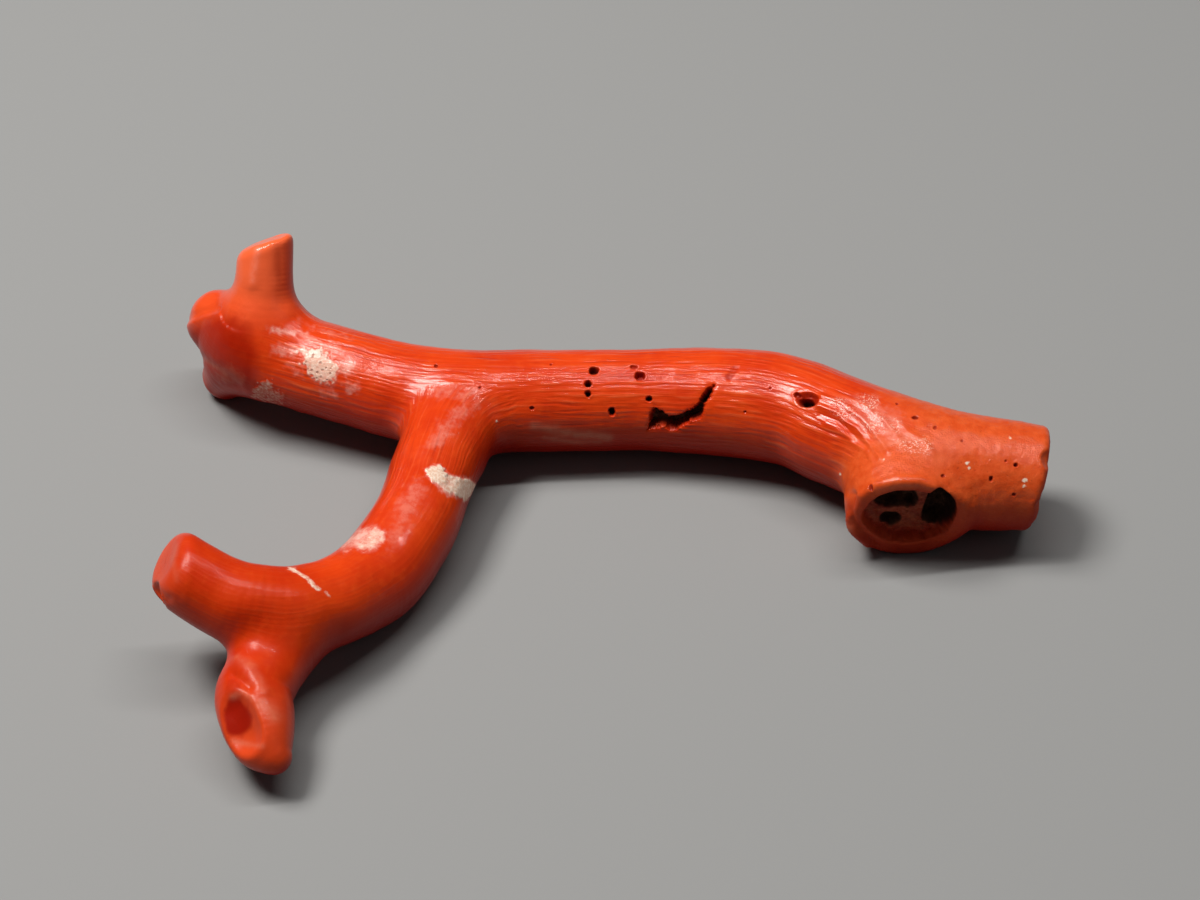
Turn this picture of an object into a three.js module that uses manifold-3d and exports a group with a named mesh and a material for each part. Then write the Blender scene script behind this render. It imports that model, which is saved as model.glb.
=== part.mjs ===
// A small polished branch of red precious coral, lying on its side.
// Millimetres, +Z up. X runs along the thick stem, the viewer's side is -Y.
// The origin is under the middle of the whole branch, on the surface it lies on.
//
// The branch grew as one piece. It is divided here at its main forks, each
// length being its own closed solid, with a hairline gap between neighbours.

import * as THREE from 'three';
import { mergeVertices } from 'three/addons/utils/BufferGeometryUtils.js';
import Module from 'manifold-3d';

// ---------------------------------------------------------------- dimensions
const GAP = 0.3;            // hairline gap between neighbouring lengths
const SIDES = 24;           // facets round a limb
const STEP = 1.15;          // length of one facet along a limb
const ORIGIN = [-0.42, 8.6175]; // shift that brings the middle of the branch to X = Y = 0
const FACE_HOLLOW = 0.5;    // depth of the worn hollow in the stub's end face
const BORE_DEEP = 1.45;     // depth of the biggest borer hole in that face

// Centre line points of every limb: x, y, z and the limb's radius there.
const STEM_AXIS = [
  [23.21, -5.95, 3.3, 2.6], [21.45, -5.65, 3.3, 2.76], [19.68, -5.46, 3.3, 2.91],
  [17.67, -5.03, 3.32, 3.0], [15.68, -4.1, 3.35, 2.96], [13.94, -3.14, 3.35, 2.92],
  [12.19, -2.06, 3.32, 2.9], [10.43, -0.8, 3.25, 2.84], [8.38, 0.02, 3.15, 2.88],
  [6.3, 0.42, 3.05, 2.83], [4.2, 0.59, 3.0, 2.73], [2.1, 0.69, 2.95, 2.63],
  [0.0, 0.65, 2.95, 2.63], [-2.1, 0.61, 2.95, 2.65], [-4.2, 0.55, 3.0, 2.68],
  [-6.3, 0.58, 3.05, 2.65], [-8.41, 0.72, 3.1, 2.6], [-10.52, 1.08, 3.2, 2.55],
  [-12.65, 1.76, 3.35, 2.48], [-14.8, 2.51, 3.5, 2.46], [-16.42, 3.13, 3.6, 2.46],
  [-17.94, 3.66, 3.7, 2.44], [-18.8, 4.28, 3.8, 2.2],
];
const UPRIGHT_AXIS = [
  [-17.98, 3.71, 3.8, 1.95], [-17.88, 4.23, 5.3, 1.8], [-17.76, 4.89, 6.6, 1.6],
  [-17.66, 5.5, 7.8, 1.49], [-17.56, 6.17, 8.95, 1.42], [-17.51, 6.62, 9.8, 1.34],
];
const KNOB_AXIS = [
  [-18.4, 3.92, 3.74, 2.3], [-18.8, 4.28, 3.8, 2.2], [-19.66, 5.2, 4.12, 1.86],
  [-20.26, 5.6, 4.22, 1.68],
];
const LOBE_AXIS = [[-18.8, 4.14, 3.3, 1.75], [-19.6, 4.27, 2.15, 1.44], [-20.1, 4.75, 1.15, 1.26]];
const LOWER_AXIS = [
  [-7.23, 0.16, 3.1, 2.41], [-7.88, -2.56, 3.0, 2.33], [-8.48, -4.7, 2.85, 2.26],
  [-8.88, -6.45, 2.72, 2.19], [-9.32, -8.19, 2.6, 2.23], [-10.06, -9.91, 2.38, 2.29],
  [-10.99, -11.64, 2.18, 2.32], [-12.0, -13.08, 2.42, 2.23], [-12.99, -14.33, 2.9, 2.19],
  [-14.1, -15.22, 3.3, 2.2], [-15.34, -15.95, 3.75, 2.24],
];
const LEFT_TWIG_AXIS = [
  [-15.34, -15.95, 3.75, 2.24], [-17.21, -16.23, 4.5, 2.08], [-18.55, -15.98, 5.0, 1.96],
  [-19.75, -15.55, 5.6, 1.89], [-20.71, -15.16, 6.1, 1.84], [-21.67, -14.78, 6.6, 1.79],
];
const TIP_TWIG_AXIS = [
  [-15.1, -15.9, 3.1, 1.8], [-15.4, -17.3, 2.75, 1.84], [-16.12, -18.86, 2.62, 1.86],
  [-16.6, -20.35, 2.55, 1.86], [-16.42, -21.55, 2.45, 1.83], [-16.1, -22.8, 2.25, 1.56],
  [-15.66, -23.6, 2.1, 1.08], [-15.42, -23.85, 2.0, 0.87],
];
const STUB_AXIS = [
  [15.69, -4.17, 3.2, 2.57], [15.41, -6.11, 3.1, 2.84], [15.42, -7.35, 2.92, 2.98],
  [15.72, -8.3, 2.74, 2.9], [15.85, -9.5, 2.55, 2.88],
];

// Broken and worn end faces: a point on the face and its outward direction.
const FACE_BASE = [[22.42, -5.9, 3.3], [1, -0.124, -0.138]];
const FACE_UPRIGHT = [[-17.71, 6.27, 9.11], [-0.34, 0.5, 0.79]];
const FACE_LEFT_TWIG = [[-21.13, -14.97, 6.14], [-0.82, 0.013, 0.567]];
const FACE_STUB = [[15.7, -8.42, 2.75], [0, -0.99, -0.13]];

// The slanting hollow broken into the tip twig: the middle line of a round cut.
const TIP_HOLLOW = [[-17.98, -23.45, 4.72, 2.0], [-17.66, -24.25, 4.18, 2.0]];

// Where the lengths part, at the forks: a point and a direction.
const FORK_LEFT = [[-11.3, 1.3, 3.25], [-0.95, 0.27, 0.06]];
const FORK_LOWER = [[-7.98, -3.0, 2.95], [-0.27, -0.96, -0.06]];
const FORK_BASE = [[18.6, -5.2, 3.3], [1, 0.06, 0]];
const FORK_STUB = [[15.4, -5.7, 3.0], [0, -0.99, -0.13]];
const FORK_UPRIGHT = [[-17.7, 4.6, 6.15], [0.06, 0.45, 0.89]];
const FORK_KNOB = [[-19.35, 4.4, 3.7], [-0.98, 0.18, 0]];
const FORK_LEFT_TWIG = [[-17.9, -16.1, 4.75], [-0.92, 0.17, 0.34]];
const FORK_TIP_TWIG = [[-15.95, -18.9, 3.8], [-0.2, -0.98, -0.05]];

// Colours of the skeleton: polished red, and the duller, more orange base.
const RED = 0xc8321e;
const RED_ORANGE = 0xc4472a;

// ------------------------------------------------------------------- solids
const wasm = await Module();
wasm.setup();

function toSolid(geometry) {
  const g = geometry.clone();
  g.deleteAttribute('normal');
  g.deleteAttribute('uv');
  const m = mergeVertices(g, 1e-5);
  return new wasm.Manifold(new wasm.Mesh({
    numProp: 3,
    vertProperties: new Float32Array(m.attributes.position.array),
    triVerts: new Uint32Array(m.index.array),
  }));
}

function toGeometry(solid) {
  const mesh = solid.getMesh();
  const g = new THREE.BufferGeometry();
  g.setAttribute('position', new THREE.BufferAttribute(new Float32Array(mesh.vertProperties), 3));
  g.setIndex(new THREE.BufferAttribute(new Uint32Array(mesh.triVerts), 1));
  g.translate(ORIGIN[0], ORIGIN[1], 0);
  g.computeVertexNormals();
  return g;
}

// A limb: a closed cylinder bent along its centre line, with its radius
// following the points' radii.
function limb(points, sides = SIDES, step = STEP) {
  const line = new THREE.CatmullRomCurve3(
    points.map(([x, y, z]) => new THREE.Vector3(x, y, z)), false, 'catmullrom', 0.5);
  const radii = new THREE.CatmullRomCurve3(
    points.map(([, , , r]) => new THREE.Vector3(r, 0, 0)), false, 'catmullrom', 0.5);
  const rings = Math.max(3, Math.round(line.getLength() / step));
  const frames = line.computeFrenetFrames(rings, false);
  const geometry = new THREE.CylinderGeometry(1, 1, 1, sides, rings, false);
  const pos = geometry.attributes.position;
  for (let i = 0; i < pos.count; i++) {
    const k = Math.round((pos.getY(i) + 0.5) * rings);
    const u = k / rings;
    const centre = line.getPointAt(u);
    const r = radii.getPoint(line.getUtoTmapping(u)).x;
    const p = centre
      .addScaledVector(frames.normals[k], pos.getX(i) * r)
      .addScaledVector(frames.binormals[k], -pos.getZ(i) * r);
    pos.setXYZ(i, p.x, p.y, p.z);
  }
  return toSolid(geometry);
}

// A ball, flattened along one direction when asked.
function ball([x, y, z], r, squash = null, amount = 1) {
  const g = new THREE.SphereGeometry(r, 18, 12);
  if (squash) {
    g.scale(1, 1, amount);
    g.applyQuaternion(new THREE.Quaternion().setFromUnitVectors(
      new THREE.Vector3(0, 0, 1), new THREE.Vector3(...squash).normalize()));
  }
  g.translate(x, y, z);
  return toSolid(g);
}

// The ball that rounds off a limb's last point.
function roundEnd(points) {
  const [x, y, z, r] = points[points.length - 1];
  return ball([x, y, z], r);
}

// Everything on the outward side of a plane, as a block to cut away.
function beyond([point, direction], offset = 0, span = 60) {
  const n = new THREE.Vector3(...direction).normalize();
  const g = new THREE.BoxGeometry(span, span, span);
  g.translate(0, 0, span / 2 + offset);
  g.applyQuaternion(new THREE.Quaternion().setFromUnitVectors(new THREE.Vector3(0, 0, 1), n));
  g.translate(...point);
  return toSolid(g);
}

// Everything on the inward side of a plane.
function before([point, direction], offset = 0, span = 60) {
  return beyond([point, direction.map((v) => -v)], -offset, span);
}

// A straight bored hole of radius r, from outside the face to a given depth.
function bore([x, y, z], direction, r, depth) {
  const n = new THREE.Vector3(...direction).normalize();
  const g = new THREE.CylinderGeometry(r, r * 0.8, depth + 2, 14, 1, false);
  g.translate(0, -depth / 2 + 1, 0);
  g.applyQuaternion(new THREE.Quaternion().setFromUnitVectors(new THREE.Vector3(0, 1, 0), n));
  g.translate(x, y, z);
  return toSolid(g);
}

const half = GAP / 2;
const floor = beyond([[0, 0, 0], [0, 0, -1]]);     // nothing reaches below Z = 0

const stem = limb(STEM_AXIS);
const upright = limb(UPRIGHT_AXIS);
const lower = limb(LOWER_AXIS);
const leftTwig = limb(LEFT_TWIG_AXIS);
const stub = limb(STUB_AXIS, 28, 0.8);
const knob = limb(KNOB_AXIS, SIDES, 0.8).add(roundEnd(KNOB_AXIS));
const lobe = limb(LOBE_AXIS).add(roundEnd(LOBE_AXIS));
const tipTwig = limb(TIP_TWIG_AXIS, SIDES, 0.8).add(roundEnd(TIP_TWIG_AXIS));
const tipHollow = limb(TIP_HOLLOW).add(roundEnd(TIP_HOLLOW)).add(roundEnd([TIP_HOLLOW[0]]));

// ------------------------------------------------------------- the 9 lengths

// Thick middle length, with the roots of the lower branch and the side stub.
const mainStem = stem
  .add(lower.subtract(beyond(FORK_LOWER, -half)))
  .add(stub)
  .subtract(beyond(FORK_LEFT, -half))
  .subtract(beyond(FORK_BASE, -half))
  .subtract(beyond(FORK_STUB, -half, 16))
  .subtract(floor);

// The thick end that was broken off square, with its small notches.
const baseEnd = stem
  .subtract(before(FORK_BASE, half))
  .subtract(beyond(FACE_BASE))
  .subtract(ball([22.8, -7.05, 5.8], 0.6))
  .subtract(ball([22.5, -8.6, 3.7], 0.55))
  .subtract(ball(FACE_BASE[0], 1.6, FACE_BASE[1], 0.13))
  .subtract(floor);

// The short stub: its end face is worn hollow inside a rounded rim, and bored.
const sideStub = stub
  .add(stem.subtract(beyond(FORK_BASE, -half)))
  .subtract(before(FORK_STUB, half))
  .subtract(before([[11.5, 0, 0], [1, 0, 0]]))
  .subtract(beyond(FACE_STUB))
  .subtract(ball(FACE_STUB[0], 2.42, FACE_STUB[1], FACE_HOLLOW / 2.42))
  .subtract(bore([17.3, -8.42, 3.2], FACE_STUB[1], 0.8, BORE_DEEP))
  .subtract(bore([15.2, -8.42, 3.8], FACE_STUB[1], 0.7, 1.1))
  .subtract(bore([14.93, -8.42, 2.33], FACE_STUB[1], 0.4, 1.0))
  .subtract(floor);

const leftBranch = stem
  .add(upright.subtract(beyond(FORK_UPRIGHT, -half)))
  .add(knob)
  .add(lobe)
  .subtract(before(FORK_LEFT, half))
  .subtract(beyond(FORK_KNOB, -half, 16))
  .subtract(floor);

const uprightTwig = upright
  .subtract(before(FORK_UPRIGHT, half))
  .subtract(beyond(FACE_UPRIGHT));

// The rounded, worn end of the left branch and the lobe that it rests on.
const endKnob = knob
  .add(lobe)
  .add(stem)
  .subtract(before(FORK_KNOB, half))
  .subtract(floor);

const lowerBranch = lower
  .add(leftTwig.subtract(beyond(FORK_LEFT_TWIG, -half)))
  .add(tipTwig.subtract(beyond(FORK_TIP_TWIG, -half)))
  .subtract(before(FORK_LOWER, half, 40))
  .subtract(floor);

// Broken off short, with a small notch in the edge of the break.
const lowerLeftTwig = leftTwig
  .subtract(before(FORK_LEFT_TWIG, half))
  .subtract(beyond(FACE_LEFT_TWIG))
  .subtract(ball([-21.8, -16.45, 5.15], 0.85));

// Broken off slantwise, with a hollow in the slanting face.
const lowerTipTwig = tipTwig
  .subtract(before(FORK_TIP_TWIG, half))
  .subtract(tipHollow)
  .subtract(floor);

// -------------------------------------------------------------------- group
function piece(name, solid, color, roughness) {
  const material = new THREE.MeshStandardMaterial({ color, roughness, metalness: 0 });
  const mesh = new THREE.Mesh(toGeometry(solid), material);
  mesh.name = name;
  return mesh;
}

const group = new THREE.Group();
group.add(
  piece('main_stem', mainStem, RED, 0.3),
  piece('base_end', baseEnd, RED_ORANGE, 0.6),
  piece('side_stub', sideStub, RED_ORANGE, 0.45),
  piece('left_branch', leftBranch, RED, 0.3),
  piece('upright_twig', uprightTwig, RED, 0.25),
  piece('end_knob', endKnob, RED, 0.25),
  piece('lower_branch', lowerBranch, RED, 0.25),
  piece('lower_left_twig', lowerLeftTwig, RED, 0.25),
  piece('lower_tip_twig', lowerTipTwig, RED, 0.25),
);

export default group;
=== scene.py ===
"""Red coral branch: the looks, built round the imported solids.

The whole skin is made once, as one fine mesh, from the centre lines of the limbs.
It is then shared out to nine pieces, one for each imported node, which meet exactly at
the forks. Lengths are in millimetres until the meshes are made in metres.
"""
import math

import bpy
import numpy as np
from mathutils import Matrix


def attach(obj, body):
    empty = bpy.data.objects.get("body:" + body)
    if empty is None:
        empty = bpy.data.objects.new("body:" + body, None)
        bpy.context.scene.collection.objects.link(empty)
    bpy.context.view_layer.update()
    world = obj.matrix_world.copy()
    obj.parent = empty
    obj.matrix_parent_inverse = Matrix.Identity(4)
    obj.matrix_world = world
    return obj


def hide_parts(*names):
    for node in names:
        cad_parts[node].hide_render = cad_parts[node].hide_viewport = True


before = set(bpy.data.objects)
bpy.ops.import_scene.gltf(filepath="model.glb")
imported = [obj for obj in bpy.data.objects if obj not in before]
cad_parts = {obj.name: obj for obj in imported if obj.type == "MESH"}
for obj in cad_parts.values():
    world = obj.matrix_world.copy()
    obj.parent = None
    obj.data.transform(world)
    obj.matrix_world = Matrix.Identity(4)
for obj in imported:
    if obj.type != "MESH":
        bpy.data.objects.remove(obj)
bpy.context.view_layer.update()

SEED = 4881
RNG = np.random.default_rng(SEED)
MM = 0.001

# ------------------------------------------------------------------ camera numbers
SHIFT = np.array([-0.42, 8.6175, 0.0])     # the limb tables to the branch's own middle
ELEV = math.radians(42.0)
FAR = 176.667                             # camera to target, mm
FOCAL = 3333.33                           # in pixels of a 1200 x 900 frame
U = np.array([0.0, math.sin(ELEV), math.cos(ELEV)])
TOCAM = np.array([0.0, -math.cos(ELEV), math.sin(ELEV)])

# ------------------------------------------------------------------ the branch, in mm
# Centre lines of the limbs: x, y, z and radius.
LIMBS = {
    "stem": [
        (23.21, -5.95, 3.3, 2.6), (21.45, -5.65, 3.3, 2.76), (19.68, -5.46, 3.3, 2.91),
        (17.67, -5.03, 3.32, 3.0), (15.68, -4.1, 3.35, 2.96), (13.94, -3.14, 3.35, 2.92),
        (12.19, -2.06, 3.32, 2.9), (10.43, -0.8, 3.25, 2.84), (8.38, 0.02, 3.15, 2.88),
        (6.3, 0.42, 3.05, 2.83), (4.2, 0.59, 3.0, 2.73), (2.1, 0.69, 2.95, 2.63),
        (0.0, 0.65, 2.95, 2.63), (-2.1, 0.61, 2.95, 2.65), (-4.2, 0.55, 3.0, 2.68),
        (-6.3, 0.58, 3.05, 2.65), (-8.41, 0.72, 3.1, 2.6), (-10.52, 1.08, 3.2, 2.55),
        (-12.65, 1.76, 3.35, 2.48), (-14.8, 2.51, 3.5, 2.46), (-16.42, 3.13, 3.6, 2.46),
        (-17.94, 3.66, 3.7, 2.44), (-18.8, 4.28, 3.8, 2.2), (-19.66, 5.2, 4.12, 1.86),
        (-20.26, 5.6, 4.22, 1.68),
    ],
    "upright": [
        (-17.98, 3.71, 3.8, 1.45), (-17.88, 4.23, 5.3, 1.78), (-17.76, 4.89, 6.6, 1.6),
        (-17.66, 5.5, 7.8, 1.49), (-17.56, 6.17, 8.95, 1.42), (-17.51, 6.62, 9.8, 1.34),
    ],
    "lobe": [(-18.8, 4.14, 3.3, 1.4), (-19.6, 4.27, 2.15, 1.42), (-20.1, 4.75, 1.15, 1.26)],
    "lower": [
        (-7.23, 0.16, 3.1, 1.6), (-7.88, -2.56, 3.0, 2.28), (-8.48, -4.7, 2.85, 2.26),
        (-8.88, -6.45, 2.72, 2.19), (-9.32, -8.19, 2.6, 2.23), (-10.06, -9.91, 2.38, 2.29),
        (-10.99, -11.64, 2.18, 2.32), (-12.0, -13.08, 2.42, 2.23), (-12.99, -14.33, 2.9, 2.19),
        (-14.1, -15.22, 3.3, 2.2), (-15.34, -15.95, 3.75, 2.22), (-17.21, -16.23, 4.5, 2.08),
        (-18.55, -15.98, 5.0, 1.96), (-19.75, -15.55, 5.6, 1.89), (-20.71, -15.16, 6.1, 1.84),
        (-21.67, -14.78, 6.6, 1.79),
    ],
    "tip_twig": [
        (-15.0, -15.9, 2.8, 1.2), (-15.4, -17.3, 2.65, 1.72), (-16.12, -18.86, 2.62, 1.84),
        (-16.6, -20.35, 2.55, 1.86), (-16.42, -21.55, 2.45, 1.83), (-16.1, -22.8, 2.25, 1.56),
        (-15.66, -23.6, 2.1, 1.08), (-15.42, -23.85, 2.0, 0.87),
    ],
    "stub": [
        (15.69, -4.17, 3.2, 2.3), (15.41, -6.11, 3.1, 2.8), (15.42, -7.35, 2.92, 2.98),
        (15.72, -8.3, 2.74, 2.9), (15.85, -9.5, 2.55, 2.88),
    ],
}
BLEND = {"upright": 1.7, "lobe": 1.3, "lower": 1.6, "tip_twig": 1.3, "stub": 1.0}

# Broken and worn ends: limb, a point on the face, its outward direction, edge rounding.
FACES = [
    ("stem", (22.42, -5.9, 3.3), (1, -0.124, -0.138), 0.42),
    ("upright", (-17.71, 6.27, 9.11), (-0.34, 0.50, 0.79), 0.55),
    ("lower", (-21.13, -14.97, 6.14), (-0.82, 0.013, 0.567), 0.80),
    ("stub", (15.7, -8.42, 2.75), (0, -0.99, -0.13), 0.50),
]
# Round bites out of those ends: limb, the two ends of their middle line, radius, edge rounding.
BITES = [
    ("stem", (22.8, -7.05, 5.8), (22.8, -7.05, 5.8), 0.60, 0.18),
    ("stem", (22.5, -8.6, 3.7), (22.5, -8.6, 3.7), 0.55, 0.18),
    ("stem", (28.12, -6.61, 2.51), (28.12, -6.61, 2.51), 6.0, 0.15),
    ("lower", (-21.8, -16.45, 5.15), (-21.8, -16.45, 5.15), 0.85, 0.20),
    ("tip_twig", (-17.98, -23.45, 4.72), (-17.66, -24.25, 4.18), 2.0, 0.22),
]

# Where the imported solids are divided: a point on the plane and its direction.
FORKS = {
    "left": ((-11.3, 1.3, 3.25), (-0.95, 0.27, 0.06)),
    "lower": ((-7.98, -3.0, 2.95), (-0.27, -0.96, -0.06)),
    "base": ((18.6, -5.2, 3.3), (1, 0.06, 0)),
    "stub": ((15.4, -5.7, 3.0), (0, -0.99, -0.13)),
    "upright": ((-17.7, 4.6, 6.15), (0.06, 0.45, 0.89)),
    "knob": ((-19.35, 4.4, 3.7), (-0.98, 0.18, 0)),
    "left_twig": ((-17.9, -16.1, 4.75), (-0.92, 0.17, 0.34)),
    "tip_twig": ((-15.95, -18.9, 3.8), (-0.2, -0.98, -0.05)),
}
NODES = ["main_stem", "base_end", "side_stub", "left_branch", "upright_twig", "end_knob",
         "lower_branch", "lower_left_twig", "lower_tip_twig"]


def unit(v):
    v = np.asarray(v, float)
    return v / np.linalg.norm(v)


def smooth(a, b, x):
    t = np.clip((x - a) / (b - a), 0, 1)
    return t * t * (3 - 2 * t)


def spline(points, per):
    """Catmull-Rom through the points, `per` steps to a span."""
    P = np.asarray(points, float)
    Q = np.vstack([2 * P[0] - P[1], P, 2 * P[-1] - P[-2]])
    t = (np.arange(per) / per)[:, None]
    out = []
    for i in range(1, len(Q) - 2):
        p0, p1, p2, p3 = Q[i - 1], Q[i], Q[i + 1], Q[i + 2]
        out.append(0.5 * (2 * p1 + (p2 - p0) * t + (2 * p0 - 5 * p1 + 4 * p2 - p3) * t * t
                          + (-p0 + 3 * p1 - 3 * p2 + p3) * t ** 3))
    return np.vstack(out + [Q[-2:-1]])


CURVES = {}
for _name, _pts in LIMBS.items():
    _c = spline(_pts, 5)
    _c[:, :3] += SHIFT
    CURVES[_name] = _c


# ------------------------------------------------------------------ noise
_LATTICE = RNG.random((48, 48, 48)) * 2 - 1


def noise(P, cell, seed=0):
    """Smooth noise from -1 to 1, `cell` mm across."""
    q = np.asarray(P, float) / cell + (seed * 7.31 + 11.7)
    i = np.floor(q).astype(np.int64)
    f = q - i
    f = f * f * f * (f * (f * 6 - 15) + 10)
    a = i % 48
    b = (i + 1) % 48
    L = _LATTICE
    x0 = L[a[:, 0], a[:, 1], a[:, 2]] * (1 - f[:, 0]) + L[b[:, 0], a[:, 1], a[:, 2]] * f[:, 0]
    x1 = L[a[:, 0], b[:, 1], a[:, 2]] * (1 - f[:, 0]) + L[b[:, 0], b[:, 1], a[:, 2]] * f[:, 0]
    x2 = L[a[:, 0], a[:, 1], b[:, 2]] * (1 - f[:, 0]) + L[b[:, 0], a[:, 1], b[:, 2]] * f[:, 0]
    x3 = L[a[:, 0], b[:, 1], b[:, 2]] * (1 - f[:, 0]) + L[b[:, 0], b[:, 1], b[:, 2]] * f[:, 0]
    y0 = x0 * (1 - f[:, 1]) + x1 * f[:, 1]
    y1 = x2 * (1 - f[:, 1]) + x3 * f[:, 1]
    return y0 * (1 - f[:, 2]) + y1 * f[:, 2]


# ------------------------------------------------------------------ the skin as a field
def limb_field(P, c, reach=2.6):
    """Distance to a limb's skin, and its gradient. Far points get a large value."""
    d = np.full(len(P), 9.0)
    g = np.zeros((len(P), 3))
    A, B = c[:-1, :3], c[1:, :3]
    AB = B - A
    L2 = (AB ** 2).sum(1)
    ra, dr = c[:-1, 3], c[1:, 3] - c[:-1, 3]
    lo = (c[:, :3] - c[:, 3:4]).min(0) - reach
    hi = (c[:, :3] + c[:, 3:4]).max(0) + reach
    idx = np.nonzero(((P > lo) & (P < hi)).all(1))[0]
    aab = (A * AB).sum(1)
    a2 = (A ** 2).sum(1)
    for k in range(0, len(idx), 16384):
        ii = idx[k:k + 16384]
        Q = P[ii]
        qab = Q @ AB.T
        t = np.clip((qab - aab) / L2, 0, 1)
        r = ra + t * dr
        s2 = (Q ** 2).sum(1)[:, None] - 2 * (Q @ A.T) + a2 + t * t * L2 - 2 * t * (qab - aab)
        j = (np.sqrt(np.maximum(s2, 1e-12)) - r).argmin(1)
        row = np.arange(len(ii))
        v = Q - A[j] - t[row, j][:, None] * AB[j]
        dist = np.linalg.norm(v, axis=1) + 1e-9
        d[ii] = dist - r[row, j]
        g[ii] = v / dist[:, None]
    return d, g


def smin(a, ga, b, gb, k):
    h = np.maximum(k - np.abs(a - b), 0) / k
    wa = np.where(a < b, 1 - h / 2, h / 2)[:, None]
    return np.minimum(a, b) - h * h * k * 0.25, ga * wa + gb * (1 - wa)


def cut(d, g, e, ge, k):
    """Takes away the side of a surface where e is above nought."""
    m, gm = smin(-d, -g, -e, -ge, k)
    return -m, -gm


def limb_fields(P):
    got = {n: limb_field(P, c) for n, c in CURVES.items()}
    for n, p, nn, k in FACES:
        nn = unit(nn)
        e = (P - (np.asarray(p) + SHIFT)) @ nn
        got[n] = cut(*got[n], e, np.broadcast_to(nn, P.shape), k)
    for n, p, q, r, k in BITES:
        v = P - (np.asarray(p) + SHIFT)
        w = np.asarray(q, float) - np.asarray(p)
        t = np.clip(v @ w / max(w @ w, 1e-9), 0, 1)
        v = v - t[:, None] * w
        dist = np.linalg.norm(v, axis=1) + 1e-9
        got[n] = cut(*got[n], r - dist, -v / dist[:, None], k)
    return got


def field(P):
    """The whole branch: skin distance and its gradient, in mm."""
    got = limb_fields(P)
    d, g = got["stem"]
    for n in ("lower", "stub", "upright", "lobe", "tip_twig"):
        d, g = smin(d, g, *got[n], BLEND[n])
    return cut(d, g, -P[:, 2], np.broadcast_to(np.array([0, 0, -1.0]), g.shape), 0.08)


def to_skin(P, steps=3):
    for _ in range(steps):
        d, g = field(P)
        P = P - (np.clip(d, -0.6, 0.6) / np.maximum((g ** 2).sum(1), 0.2))[:, None] * g
    return P


# ------------------------------------------------------------------ meshing
def surface_net(h):
    """A first quad mesh of the skin on a grid of step h."""
    allc = np.vstack(list(CURVES.values()))
    lo = (allc[:, :3] - allc[:, 3:4]).min(0) - 2 * h
    hi = (allc[:, :3] + allc[:, 3:4]).max(0) + 2 * h
    n = np.ceil((hi - lo) / h).astype(int) + 1
    ax = [lo[i] + h * np.arange(n[i]) for i in range(3)]
    G = np.stack(np.meshgrid(*ax, indexing="ij"), -1).reshape(-1, 3)
    D = field(G)[0].reshape(n)
    inside = D < 0
    nc = n - 1
    cnt = np.zeros(nc)
    acc = np.zeros((*nc, 3))

    def part(arr, o):
        return arr[o[0]:o[0] + nc[0], o[1]:o[1] + nc[1], o[2]:o[2] + nc[2]]
    for a in [(i, j, k) for i in (0, 1) for j in (0, 1) for k in (0, 1)]:
        for axis in range(3):
            if a[axis]:
                continue
            b = list(a)
            b[axis] = 1
            da, db = part(D, a), part(D, b)
            cross = (da < 0) != (db < 0)
            t = np.where(cross, da / np.where(cross, da - db, 1), 0)
            p = np.zeros((*nc, 3)) + np.array(a, float)
            p[..., axis] += t
            acc += p * cross[..., None]
            cnt += cross
    act = cnt > 0
    ids = np.full(nc, -1)
    ids[act] = np.arange(act.sum())
    I = np.stack(np.nonzero(act), -1)
    V = lo + h * (I + acc[act] / cnt[act][:, None])
    quads = []
    for axis in range(3):
        o1, o2 = [(1, 2), (2, 0), (0, 1)][axis]
        sa, sb = [slice(None)] * 3, [slice(None)] * 3
        sa[axis], sb[axis] = slice(0, -1), slice(1, None)
        ina, inb = inside[tuple(sa)], inside[tuple(sb)]
        E = np.stack(np.nonzero(ina != inb), -1)
        flip = ~ina[tuple(E.T)]
        c = []
        for u, v in ((0, 0), (1, 0), (1, 1), (0, 1)):
            q = E.copy()
            q[:, o1] -= u
            q[:, o2] -= v
            c.append(ids[tuple(q.T)])
        Q = np.stack(c, -1)
        Q[flip] = Q[flip][:, ::-1]
        quads.append(Q)
    return V, np.vstack(quads)


def vert_normals(V, F):
    fn = np.cross(V[F[:, 1]] - V[F[:, 0]], V[F[:, 2]] - V[F[:, 0]])
    N = np.zeros_like(V)
    for k in range(3):
        for a in range(3):
            N[:, a] += np.bincount(F[:, k], fn[:, a], len(V))
    return N / np.maximum(np.linalg.norm(N, axis=1), 1e-12)[:, None]


def edges_of(F, nv):
    e = np.vstack([F[:, [0, 1]], F[:, [1, 2]], F[:, [2, 0]]])
    e.sort(axis=1)
    u, inv = np.unique(e[:, 0].astype(np.int64) * nv + e[:, 1], return_inverse=True)
    return np.stack([u // nv, u % nv], -1), inv.reshape(3, -1).T


def neighbour_mean(X, E, deg):
    S = np.zeros_like(X)
    for a in range(X.shape[1]):
        S[:, a] = np.bincount(E[:, 0], X[E[:, 1], a], len(X)) + np.bincount(E[:, 1], X[E[:, 0], a], len(X))
    return S / deg[:, None]


def relax(V, F, steps, amount=0.5):
    """Evens out the triangles along the skin."""
    E, _ = edges_of(F, len(V))
    deg = np.bincount(E.ravel(), minlength=len(V)).astype(float)
    for _ in range(steps):
        N = vert_normals(V, F)
        D = neighbour_mean(V, E, deg) - V
        V = V + amount * (D - (D * N).sum(1)[:, None] * N)
    return V


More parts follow.
